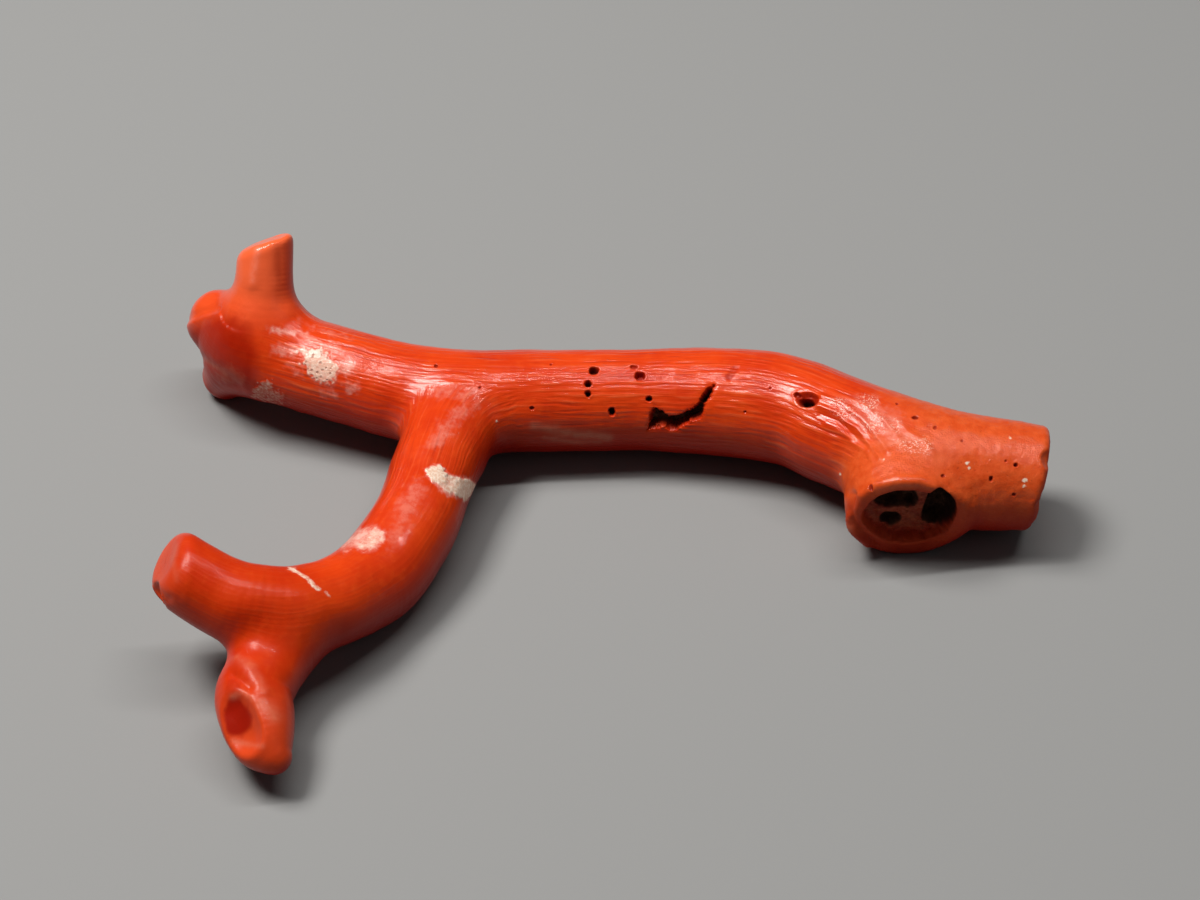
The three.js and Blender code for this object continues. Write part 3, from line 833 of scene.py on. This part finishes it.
    # the broken face of the left twig
    twig_n = unit(FACES[2][2])
    flat = limb["lower"] * (px_x < -19.5) * (p[:, 1] < -10) * smooth(0.45, 0.85, g @ twig_n)
    matt = np.maximum(matt, 0.75 * flat)
    matt = np.maximum(matt, limb["lower"] * front * (1 - smooth(0.7, 1.5, np.hypot(x - 159, y - 594) / 14)))
    for cx, cy, rr in SPECKS:
        q = np.hypot(x - cx, y - cy) / rr
        m = front * (1 - smooth(0.6, 1.15, q + 0.15 * n3))
        cream = np.maximum(cream, m)
        h += 0.02 * m
    for cx, cy, a, b in RUBS:
        q = np.hypot((x - cx) / a, (y - cy) / b)
        rub = np.maximum(rub, front * (1 - smooth(0.4, 1.25, q + 0.3 * n2)))

    for line, wd, ht, who in RIDGES:
        q = line_dist(x, y, line) / wd
        w = upper(front, who) * (q < 3)
        h += w * ht * np.exp(-q * q)

    # the bored face of the stub
    face_n = unit(FACES[-1][2])
    there = (limb["stub"] | limb["stem"]) & (px_x > 12) & (px_x < 19)
    on = there * smooth(0.25, 0.6, g @ face_n)
    seen = there * smooth(0.0, 0.2, g @ face_n)
    inward = -face_n
    q = poly_dist(x, y, STUB_HOLLOW) + 0.7 * n2
    dip = on * (1 - smooth(-5.0, 0.9, q)) * 0.55
    mud = np.maximum(mud, seen * (1 - smooth(-9.0, -1.0, q)) * 0.55)
    # painted shade: a deeper red in the stub's hollow and along the lower and left edges of its face
    deep_red_and_shade = np.maximum(deep_red_and_shade, seen * (1 - smooth(-4.0, 1.5, q)) * 0.9)
    deep_red_and_shade = np.maximum(deep_red_and_shade, seen * smooth(1.0, 3.0, q) * (0.85 * smooth(528, 545, y)
                      + 0.5 * smooth(885, 862, x) * smooth(488, 505, y)).clip(0, 0.85))
    matt = np.maximum(matt, seen * (0.35 + 0.65 * smooth(486, 494, y)))
    gloss = front * there * np.exp(-(line_dist(x, y, [(872, 486), (886, 481), (900, 479), (918, 479)]) / 4.5) ** 2)
    matt *= 1 - gloss
    bore = np.zeros(len(V))
    # painted shade: near-black inside each bore of the stub's face
    for poly, dep in BORES:
        q = poly_dist(x, y, poly) + 0.5 * n1
        k = on * (1 - smooth(-5.5, 0.9, q))
        bore = np.maximum(bore, k * dep)
        hole_shade = np.maximum(hole_shade, seen * (1 - smooth(-1.0, 1.6, q)))
    push += ((dip + bore) * (1 + 0.1 * n2))[:, None] * inward
    push += (on * (dip > 0.1) * 0.05 * n1)[:, None] * inward

    # marks on the hidden side
    for c, n, t, a, b, kind in HIDDEN:
        v = V - c
        near_ = (np.abs(v).max(1) < 3 * max(a, b)) & (N @ n > 0.1)
        if not near_.any():
            continue
        e1 = v @ t
        e2 = v @ np.cross(n, t)
        q = np.where(near_, np.hypot(e1 / a, e2 / b), 9.0)
        # painted shade: near-black inside the hidden pores and slots
        if kind == "pore":
            h -= 1.9 * b * (1 - smooth(0.55, 1.1, q + 0.1 * n1))
            hole_shade = np.maximum(hole_shade, 1 - smooth(0.72, 1.08, q))
        elif kind == "slot":
            q = q + 0.25 * n2 + 0.15 * n1
            h -= 0.4 * (1 - smooth(0.5, 1.05, q))
            hole_shade = np.maximum(hole_shade, 1 - smooth(0.6, 1.0, q))
        else:
            q = q + 0.5 * n2 + 0.3 * n1
            m = 1 - smooth(0.75, 1.05, q)
            cream = np.maximum(cream, 0.85 * m)
            lace = np.maximum(lace, 0.7 * m)
            h += 0.03 * m

    # painted light: a brighter orange stands in for light let through the thin limbs; it is also put on the worn base
    # end and round the stub's hollow
    painted_glow = np.zeros(len(V))
    painted_glow = np.maximum(painted_glow, limb["upright"] * smooth(5.5, 8.6, V[:, 2]))
    painted_glow = np.maximum(painted_glow, 0.25 * (smooth(-19.4, -21.0, px_x) * (p[:, 1] > 0)) * smooth(3.2, 5.0, V[:, 2]))
    painted_glow = np.maximum(painted_glow, 0.35 * smooth(-19.6, -21.4, px_x) * (p[:, 1] < -10))
    painted_glow = np.maximum(painted_glow, 0.30 * limb["tip_twig"] * smooth(-20.5, -22.5, p[:, 1]))
    painted_glow = np.maximum(painted_glow, 0.30 * dull)
    painted_glow = np.maximum(painted_glow, 0.9 * np.exp(-((poly_dist(x, y, STUB_HOLLOW) - 4.5) / 4.5) ** 2) * seen)
    for _ in range(10):
        painted_glow = neighbour_mean(painted_glow[:, None], E, deg)[:, 0]

    # the rough broken face of the base end, which no light polishes
    end_n = unit(FACES[0][2])
    broken = limb["stem"] * (px_x > 21.2) * smooth(0.55, 0.9, g @ end_n)
    rad = np.linalg.norm(np.cross(p - np.array([22.4, -5.9, 3.3]), end_n), axis=1)
    h += broken * (0.075 * noise(V, 1.1, 12) + 0.035 * noise(V, 0.45, 13)
                   + 0.010 * np.sin(rad * 17.0 + 2.0 * noise(V, 1.3, 14)))
    matt = np.maximum(matt, 0.8 * broken)

    # painted shade: surfaces turned away from the light are given a deeper red, and shine less
    lit = N @ unit((-0.35, 0.10, 0.93))
    matt = np.maximum(matt, smooth(0.50, -0.10, lit))
    deep_red_and_shade = np.maximum(deep_red_and_shade, smooth(0.34, -0.60, lit))

    V2 = V + N * h[:, None] + push
    V2[:, 2] = np.maximum(V2[:, 2], 0.0)
    return V2, {
        "pathA": A, "pathB": B, "mixB": mixb, "stria": stria, "cream": cream, "lace": lace,
        "hole_shade": hole_shade, "haze_and_highlight": haze_and_highlight, "veil_and_sheen": veil_and_sheen, "rub": rub, "dull": dull, "painted_glow": painted_glow,
        "mud": mud, "deep_red_and_shade": deep_red_and_shade, "matt": matt, "broken": broken,
        "gloss": gloss,
    }


# ------------------------------------------------------------------ sharing out to the nodes
def node_labels(V, F):
    c = V[F].mean(1) - SHIFT
    got = {n: v[0] for n, v in limb_fields(c + SHIFT).items()}
    near = np.stack(list(got.values()), -1).argmin(1)
    lim = {n: near == i for i, n in enumerate(got)}

    def past(name):
        p, n = FORKS[name]
        return (c - np.asarray(p)) @ unit(n) > 0
    lab = np.zeros(len(F), int)
    b_chain = c[:, 0] < -3
    lab[past("base") & (c[:, 0] > 15)] = 1
    lab[past("stub") & ~past("base") & (c[:, 0] > 11.5) & (c[:, 1] < -5.0)] = 2
    lab[past("left") & (c[:, 1] > -4.0)] = 3
    lab[(lab == 3) & past("knob") & (c[:, 2] < 6.5)] = 5
    lab[(lab == 3) & past("upright") & (c[:, 0] < -15)] = 4
    lab[(lab == 0) & past("lower") & b_chain] = 6
    lab[(lab == 6) & past("left_twig") & (c[:, 1] > -18.5)] = 7
    lab[(lab == 6) & past("tip_twig")] = 8
    # clear stray islands
    E, fe = edges_of(F, len(V))
    order = np.argsort(fe.ravel(), kind="stable")
    tri = np.repeat(np.arange(len(F)), 3)[order]
    pair = tri.reshape(-1, 2)
    for _ in range(6):
        same = lab[pair[:, 0]] == lab[pair[:, 1]]
        root = np.arange(len(F))
        pa = pair[same]
        while True:
            m = np.minimum(root[pa[:, 0]], root[pa[:, 1]])
            new = root.copy()
            np.minimum.at(new, pa[:, 0], m)
            np.minimum.at(new, pa[:, 1], m)
            new = new[new]
            if (new == root).all():
                break
            root = new
        comp, size = np.unique(root, return_counts=True)
        best = {}
        for r, s in zip(comp, size):
            L = lab[r]
            if L not in best or s > best[L][1]:
                best[L] = (r, s)
        stray = ~np.isin(root, [b[0] for b in best.values()])
        if not stray.any():
            break
        cross = pair[stray[pair[:, 0]] & ~stray[pair[:, 1]]]
        lab[cross[:, 0]] = lab[cross[:, 1]]
        cross = pair[stray[pair[:, 1]] & ~stray[pair[:, 0]]]
        lab[cross[:, 1]] = lab[cross[:, 0]]
    return lab


def close_loops(F):
    """The rims of an open patch, each as a list of corners in order."""
    he = np.vstack([F[:, [0, 1]], F[:, [1, 2]], F[:, [2, 0]]])
    big = int(he.max()) + 1
    key = he[:, 0].astype(np.int64) * big + he[:, 1]
    rev = he[:, 1].astype(np.int64) * big + he[:, 0]
    rim = he[~np.isin(key, rev)]
    nxt = {}
    for a, b in rim.tolist():
        nxt.setdefault(a, []).append(b)
    loops = []
    while nxt:
        start = next(iter(nxt))
        loop, a = [start], start
        while True:
            b = nxt[a].pop()
            if not nxt[a]:
                del nxt[a]
            if b == start:
                break
            loop.append(b)
            a = b
        loops.append(loop)
    return loops


def make_piece(name, V, N, F, attrs, material, apex=None):
    used, inv = np.unique(F, return_inverse=True)
    f = inv.reshape(-1, 3)
    loops = close_loops(f)
    pts = V[used]
    caps, extra = [], []
    for loop in loops:
        c = len(pts) + len(extra)
        extra.append(pts[loop].mean(0) if apex is None else apex)
        nx = np.roll(loop, -1)
        caps += [(int(b), int(a), c) for a, b in zip(loop, nx)]
    nf = len(f)
    if caps:
        f = np.vstack([f, np.array(caps)])
        pts = np.vstack([pts, np.array(extra)])
    me = bpy.data.meshes.new(name)
    me.vertices.add(len(pts))
    me.vertices.foreach_set("co", (pts * MM).astype(np.float32).ravel())
    me.loops.add(len(f) * 3)
    me.loops.foreach_set("vertex_index", f.astype(np.int32).ravel())
    me.polygons.add(len(f))
    me.polygons.foreach_set("loop_start", np.arange(0, len(f) * 3, 3, dtype=np.int32))
    me.polygons.foreach_set("use_smooth", np.ones(len(f), bool))
    me.update(calc_edges=True)
    pad = len(pts) - len(used)
    for key, val in attrs.items():
        v = val[used]
        if v.ndim == 1:
            v = np.concatenate([v, np.zeros(pad)])
            me.attributes.new(key, "FLOAT", "POINT").data.foreach_set("value", v.astype(np.float32))
        else:
            v = np.vstack([v, np.zeros((pad, 3))])
            me.attributes.new(key, "FLOAT_VECTOR", "POINT").data.foreach_set("vector", v.astype(np.float32).ravel())
    # shared normals keep the joins unseen; the hidden caps have their own
    corner = np.zeros((len(f), 3, 3))
    corner[:nf] = N[used][f[:nf]]
    if len(f) > nf:
        t = f[nf:]
        fn = np.cross(pts[t[:, 1]] - pts[t[:, 0]], pts[t[:, 2]] - pts[t[:, 0]])
        fn /= np.maximum(np.linalg.norm(fn, axis=1), 1e-9)[:, None]
        corner[nf:] = fn[:, None, :]
    me.normals_split_custom_set(corner.reshape(-1, 3).tolist())
    me.materials.append(material)
    ob = bpy.data.objects.new(name, me)
    bpy.context.scene.collection.objects.link(ob)
    return ob


# ------------------------------------------------------------------ material
class Tree:
    """Short calls for building a node tree."""

    def __init__(self, mat):
        self.t = mat.node_tree
        self.t.nodes.clear()

    def node(self, kind, props=None, **ins):
        n = self.t.nodes.new(kind)
        for k, v in (props or {}).items():
            setattr(n, k, v)
        for k, v in ins.items():
            self.put(n, k, v)
        return n

    def put(self, n, key, v):
        sock = n.inputs[int(key[1:])] if key[0] == "i" and key[1:].isdigit() else n.inputs[key.replace("_", " ")]
        if isinstance(v, bpy.types.NodeSocket):
            self.t.links.new(v, sock)
        elif isinstance(v, bpy.types.Node):
            self.t.links.new(v.outputs[0], sock)
        else:
            sock.default_value = v

    def math(self, op, a, b=0.0, c=None, clamp=False):
        n = self.node("ShaderNodeMath", {"operation": op, "use_clamp": clamp}, i0=a, i1=b)
        if c is not None:
            self.put(n, "i2", c)
        return n.outputs[0]

    def mul(self, a, b):
        return self.math("MULTIPLY", a, b)

    def add(self, a, b):
        return self.math("ADD", a, b)

    def ramp(self, x, a, b, lo=0.0, hi=1.0):
        n = self.node("ShaderNodeMapRange", {"interpolation_type": "SMOOTHSTEP"}, i0=x, i1=a, i2=b, i3=lo, i4=hi)
        return n.outputs[0]

    def mix(self, f, a, b):
        n = self.t.nodes.new("ShaderNodeMix")
        n.data_type = "RGBA"
        for s, v in ((n.inputs[0], f), (n.inputs[6], a), (n.inputs[7], b)):
            if isinstance(v, bpy.types.NodeSocket):
                self.t.links.new(v, s)
            else:
                s.default_value = v if not isinstance(v, tuple) else (*v[:3], 1.0)
        return n.outputs[2]

    def attr(self, name, vector=False):
        n = self.node("ShaderNodeAttribute", {"attribute_name": name})
        return n.outputs["Vector"] if vector else n.outputs["Fac"]

    def noise(self, vec, scale, detail=2.0, rough=0.5, distortion=0.0):
        n = self.node("ShaderNodeTexNoise", {}, Vector=vec, Scale=scale, Detail=detail,
                      Roughness=rough, Distortion=distortion)
        return n.outputs["Fac"]

    def scaled(self, vec, s):
        n = self.node("ShaderNodeVectorMath", {"operation": "MULTIPLY"}, i0=vec, i1=s)
        return n.outputs[0]


def coral(name):
    mat = bpy.data.materials.new(name)
    mat.use_nodes = True
    t = Tree(mat)
    obj = t.node("ShaderNodeTexCoord").outputs["Object"]
    mm = t.scaled(obj, (1000.0, 1000.0, 1000.0))
    stria, cream, lace = t.attr("stria"), t.attr("cream"), t.attr("lace")
    hole_shade, haze_and_highlight, rub = t.attr("hole_shade"), t.attr("haze_and_highlight"), t.attr("rub")
    dull, painted_glow, mixb, veil_and_sheen = t.attr("dull"), t.attr("painted_glow"), t.attr("mixB"), t.attr("veil_and_sheen")
    mud, deep_red_and_shade, matt, broken = t.attr("mud"), t.attr("deep_red_and_shade"), t.attr("matt"), t.attr("broken")
    gloss = t.attr("gloss")

    # fine lengthwise grooves, wavy and unevenly spaced
    def grooves(path):
        vec = t.attr(path, True)
        sep = t.node("ShaderNodeSeparateXYZ", {}, Vector=vec)
        phi = t.math("ARCTAN2", sep.outputs[1], sep.outputs[0])
        slow = t.scaled(vec, (1.0, 1.0, 0.30))
        drift = t.noise(slow, 0.55, 2.0, 0.55)
        wave = t.noise(t.scaled(vec, (1.0, 1.0, 0.5)), 1.4, 1.0)
        ph = t.add(t.mul(t.add(drift, -0.5), 22.0), t.mul(t.add(wave, -0.5), 4.6))
        s1 = t.math("SINE", t.add(t.mul(phi, 57.0), ph))
        s2 = t.math("SINE", t.add(t.mul(phi, 38.0), t.mul(ph, -0.8)))
        pick = t.ramp(t.noise(t.scaled(vec, (1.0, 1.0, 0.4)), 0.9, 1.0), 0.42, 0.58)
        both = t.add(t.mul(s1, t.math("SUBTRACT", 1.0, pick)), t.mul(s2, pick))
        hair = t.noise(t.scaled(vec, (1.0, 1.0, 0.055)), 4.6, 3.0, 0.62)
        return t.add(t.mul(both, 0.26), t.mul(t.add(hair, -0.5), 2.1))
    ga, gb = grooves("pathA"), grooves("pathB")
    gr = t.add(t.mul(ga, t.math("SUBTRACT", 1.0, mixb)), t.mul(gb, mixb))
    keep = t.math("SUBTRACT", 1.0, t.mul(cream, 0.8))
    patchy = t.ramp(t.noise(mm, 0.5, 2.0), 0.25, 0.7, 0.45, 1.0)
    gstr = t.mul(t.mul(stria, keep), patchy)

    cloud = t.noise(mm, 0.34, 3.0, 0.55)
    mottle = t.noise(mm, 2.2, 4.0, 0.6)
    grain = t.noise(mm, 11.0, 3.0, 0.65)

    # colour
    red = t.mix(t.ramp(cloud, 0.3, 0.7), (0.62, 0.034, 0.003), (0.72, 0.052, 0.004))
    red = t.mix(t.mul(t.ramp(mottle, 0.45, 0.8), 0.35), red, (0.80, 0.085, 0.008))
    # painted light: the brighter orange glow
    red = t.mix(t.mul(painted_glow, 0.90), red, (0.97, 0.145, 0.045))
    duller = t.mix(t.ramp(mottle, 0.3, 0.7), (0.62, 0.062, 0.006), (0.72, 0.100, 0.018))
    red = t.mix(t.mul(dull, 0.85), red, duller)
    # painted shade in the grooves and a painted highlight on the ridges between them
    groove_painted_shade = t.mul(t.ramp(gr, -0.05, -0.55), t.mul(gstr, 0.42))
    red = t.mix(groove_painted_shade, red, (0.36, 0.010, 0.003))
    ridge_painted_highlight = t.mul(t.ramp(gr, 0.12, 0.6), t.mul(gstr, 0.38))
    red = t.mix(ridge_painted_highlight, red, (0.88, 0.19, 0.065))
    pits = t.ramp(grain, 0.36, 0.27)
    red = t.mix(t.mul(pits, t.add(t.mul(dull, 0.40), 0.10)), red, (0.34, 0.018, 0.005))
    # painted shade: a deeper red, mostly where the skin is turned away from the light or sits in hollows
    red = t.mix(t.mul(deep_red_and_shade, 0.92), red, (0.31, 0.0045, 0.001))
    chalky = t.mix(t.ramp(mottle, 0.30, 0.70), (0.57, 0.068, 0.022), (0.65, 0.100, 0.036))
    red = t.mix(t.mul(broken, 0.8), red, chalky)
    flour = t.mul(t.ramp(grain, 0.50, 0.66), rub)
    red = t.mix(t.mul(flour, 0.9), red, (0.88, 0.58, 0.46))
    # pale haze, partly painted highlight
    red = t.mix(t.mul(haze_and_highlight, t.ramp(mottle, 0.25, 0.7, 0.5, 1.0)), red, (0.62, 0.34, 0.22))
    # milky film of the crusts, and painted sheen
    milky_and_sheen = t.mul(veil_and_sheen, t.ramp(t.add(mottle, t.mul(t.add(grain, -0.5), 0.5)), 0.30, 0.62, 0.35, 1.0))
    red = t.mix(milky_and_sheen, red, (0.86, 0.50, 0.41))
    soil = t.mix(t.ramp(mottle, 0.3, 0.7), (0.10, 0.018, 0.008), (0.26, 0.085, 0.035))
    red = t.mix(mud, red, soil)

    # cream crust, with lace-like pits where it is thick
    vor = t.node("ShaderNodeTexVoronoi", {"feature": "F1"}, Vector=mm, Scale=4.0, Randomness=0.75)
    holes = t.mul(t.ramp(vor.outputs["Distance"], 0.34, 0.20), lace)
    crust_noise = t.noise(mm, 7.0, 3.0, 0.6)
    blotch = t.noise(mm, 2.6, 3.0, 0.6)
    creamy = t.mix(t.ramp(crust_noise, 0.35, 0.7), (0.74, 0.47, 0.33), (0.90, 0.74, 0.61))
    creamy = t.mix(t.mul(lace, 0.55), creamy, (0.84, 0.50, 0.39))
    creamy = t.mix(t.mul(holes, 0.8), creamy, (0.26, 0.05, 0.025))
    break_up = t.add(t.mul(t.add(crust_noise, -0.5), 0.40), t.mul(t.add(blotch, -0.5), 0.60))
    cover = t.mul(t.ramp(t.add(cream, break_up), 0.15, 0.85), t.ramp(cream, 0.02, 0.25))
    colour = t.mix(cover, red, creamy)
    # painted shade: near-black in the holes, bores and cavity; brown where silt lies in them
    colour = t.mix(hole_shade, colour, (0.022, 0.0045, 0.003))
    colour = t.mix(t.mul(t.mul(mud, hole_shade), t.ramp(mottle, 0.35, 0.65)), colour, (0.095, 0.040, 0.020))

    # gloss
    rough = t.add(0.33, t.mul(t.add(mottle, -0.5), 0.16))
    rough = t.add(rough, t.mul(dull, 0.17))
    rough = t.add(rough, t.mul(rub, 0.12))
    rough = t.add(rough, t.mul(cover, 0.34))
    rough = t.add(rough, t.mul(hole_shade, 0.45))
    rough = t.add(rough, t.mul(broken, 0.25))
    rough = t.add(rough, t.mul(gloss, -0.26))
    rough = t.math("MINIMUM", t.math("MAXIMUM", rough, 0.12), 0.95)

    # relief
    height = t.mul(gr, t.mul(gstr, 0.030))
    height = t.add(height, t.mul(t.add(grain, -0.5), t.add(t.mul(dull, 0.020), 0.0035)))
    height = t.add(height, t.mul(t.add(mottle, -0.5), 0.012))
    height = t.add(height, t.mul(t.add(crust_noise, -0.5), t.mul(cover, 0.028)))
    height = t.math("SUBTRACT", height, t.mul(t.mul(holes, cover), 0.05))
    height = t.math("SUBTRACT", height, t.mul(t.mul(pits, dull), 0.012))
    bump = t.node("ShaderNodeBump", {}, Strength=1.0, Distance=MM, Height=height)

    b = t.node("ShaderNodeBsdfPrincipled", {}, Base_Color=colour, Roughness=rough, Normal=bump.outputs[0])
    b.inputs["IOR"].default_value = 1.5
    b.inputs["Coat Roughness"].default_value = 0.11
    b.inputs["Specular IOR Level"].default_value = 0.17
    t.t.links.new(t.math("SUBTRACT", 0.56, t.mul(matt, 0.54)), b.inputs["Coat Weight"])
    b.inputs["Specular Tint"].default_value = (1.0, 0.80, 0.72, 1.0)
    t.t.links.new(bump.outputs[0], b.inputs["Coat Normal"])
    out = t.node("ShaderNodeOutputMaterial")
    t.t.links.new(b.outputs[0], out.inputs["Surface"])
    return mat


# ------------------------------------------------------------------ build
V0, F0, labels = build_skin()
V1, attrs = dress(V0, F0)
N1 = vert_normals(V1, F0)
polished, worn = coral("polished_coral"), coral("dull_coral")
SLOTS = {"base_end": "dull_coral", "side_stub": "dull_coral"}
for i, node in enumerate(NODES):
    slot = SLOTS.get(node, "polished_coral")
    piece = make_piece("coral_" + node, V1, N1, F0[labels == i], attrs,
                       worn if slot == "dull_coral" else polished,
                       SHIFT + (18.3, -5.6, 3.2) if node == "side_stub" else None)
    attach(piece, "root")
    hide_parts(node)
    print("piece", node, len(piece.data.polygons))

# ------------------------------------------------------------------ floor, light, camera
me = bpy.data.meshes.new("floor")
me.from_pydata([(-0.6, -0.6, 0), (0.6, -0.6, 0), (0.6, 0.6, 0), (-0.6, 0.6, 0)], [], [(0, 1, 2, 3)])
floor = bpy.data.objects.new("floor", me)
floor.location.z = -0.00002
bpy.context.scene.collection.objects.link(floor)
fm = bpy.data.materials.new("floor_pale")
fm.use_nodes = True
fm.node_tree.nodes["Principled BSDF"].inputs["Base Color"].default_value = (0.265, 0.265, 0.262, 1)
fm.node_tree.nodes["Principled BSDF"].inputs["Roughness"].default_value = 0.8
me.materials.append(fm)

world = bpy.context.scene.world or bpy.data.worlds.new("studio")
bpy.context.scene.world = world
world.use_nodes = True
world.node_tree.nodes["Background"].inputs[0].default_value = (0.92, 0.95, 1.0, 1)
world.node_tree.nodes["Background"].inputs[1].default_value = 0.045

from mathutils import Vector


def area(name, direction, dist, size, power, colour=(1, 1, 1)):
    light = bpy.data.lights.new(name, "AREA")
    light.shape = "RECTANGLE"
    light.size, light.size_y = size
    light.energy = power
    light.color = colour
    ob = bpy.data.objects.new(name, light)
    d = Vector(direction).normalized()
    ob.location = d * dist + Vector((0, 0, 0.003))
    ob.rotation_euler = d.to_track_quat("Z", "Y").to_euler()
    bpy.context.scene.collection.objects.link(ob)
    return ob


area("key", (-0.43, 0.14, 0.89), 0.30, (0.13, 0.10), 0.80, (1.0, 0.98, 0.95))
area("strip", (-0.02, 0.14, 0.99), 0.30, (0.36, 0.016), 0.56, (1.0, 0.99, 0.97))
area("fill", (0.75, -0.35, 0.60), 0.40, (0.25, 0.25), 0.03, (0.93, 0.96, 1.0))

target = Vector((SHIFT[0] * MM, SHIFT[1] * MM, 0))
cam = bpy.data.cameras.new("camera")
cam.lens, cam.sensor_width, cam.sensor_fit = 100.0, 36.0, "HORIZONTAL"
cam.clip_start, cam.clip_end = 0.005, 5.0
camera = bpy.data.objects.new("camera", cam)
back = Vector(TOCAM.tolist())
camera.location = target + back * (FAR * MM)
camera.rotation_euler = back.to_track_quat("Z", "Y").to_euler()
bpy.context.scene.collection.objects.link(camera)
bpy.context.scene.camera = camera
bpy.context.scene.view_settings.view_transform = "Standard"
bpy.context.scene.view_settings.look = "None"
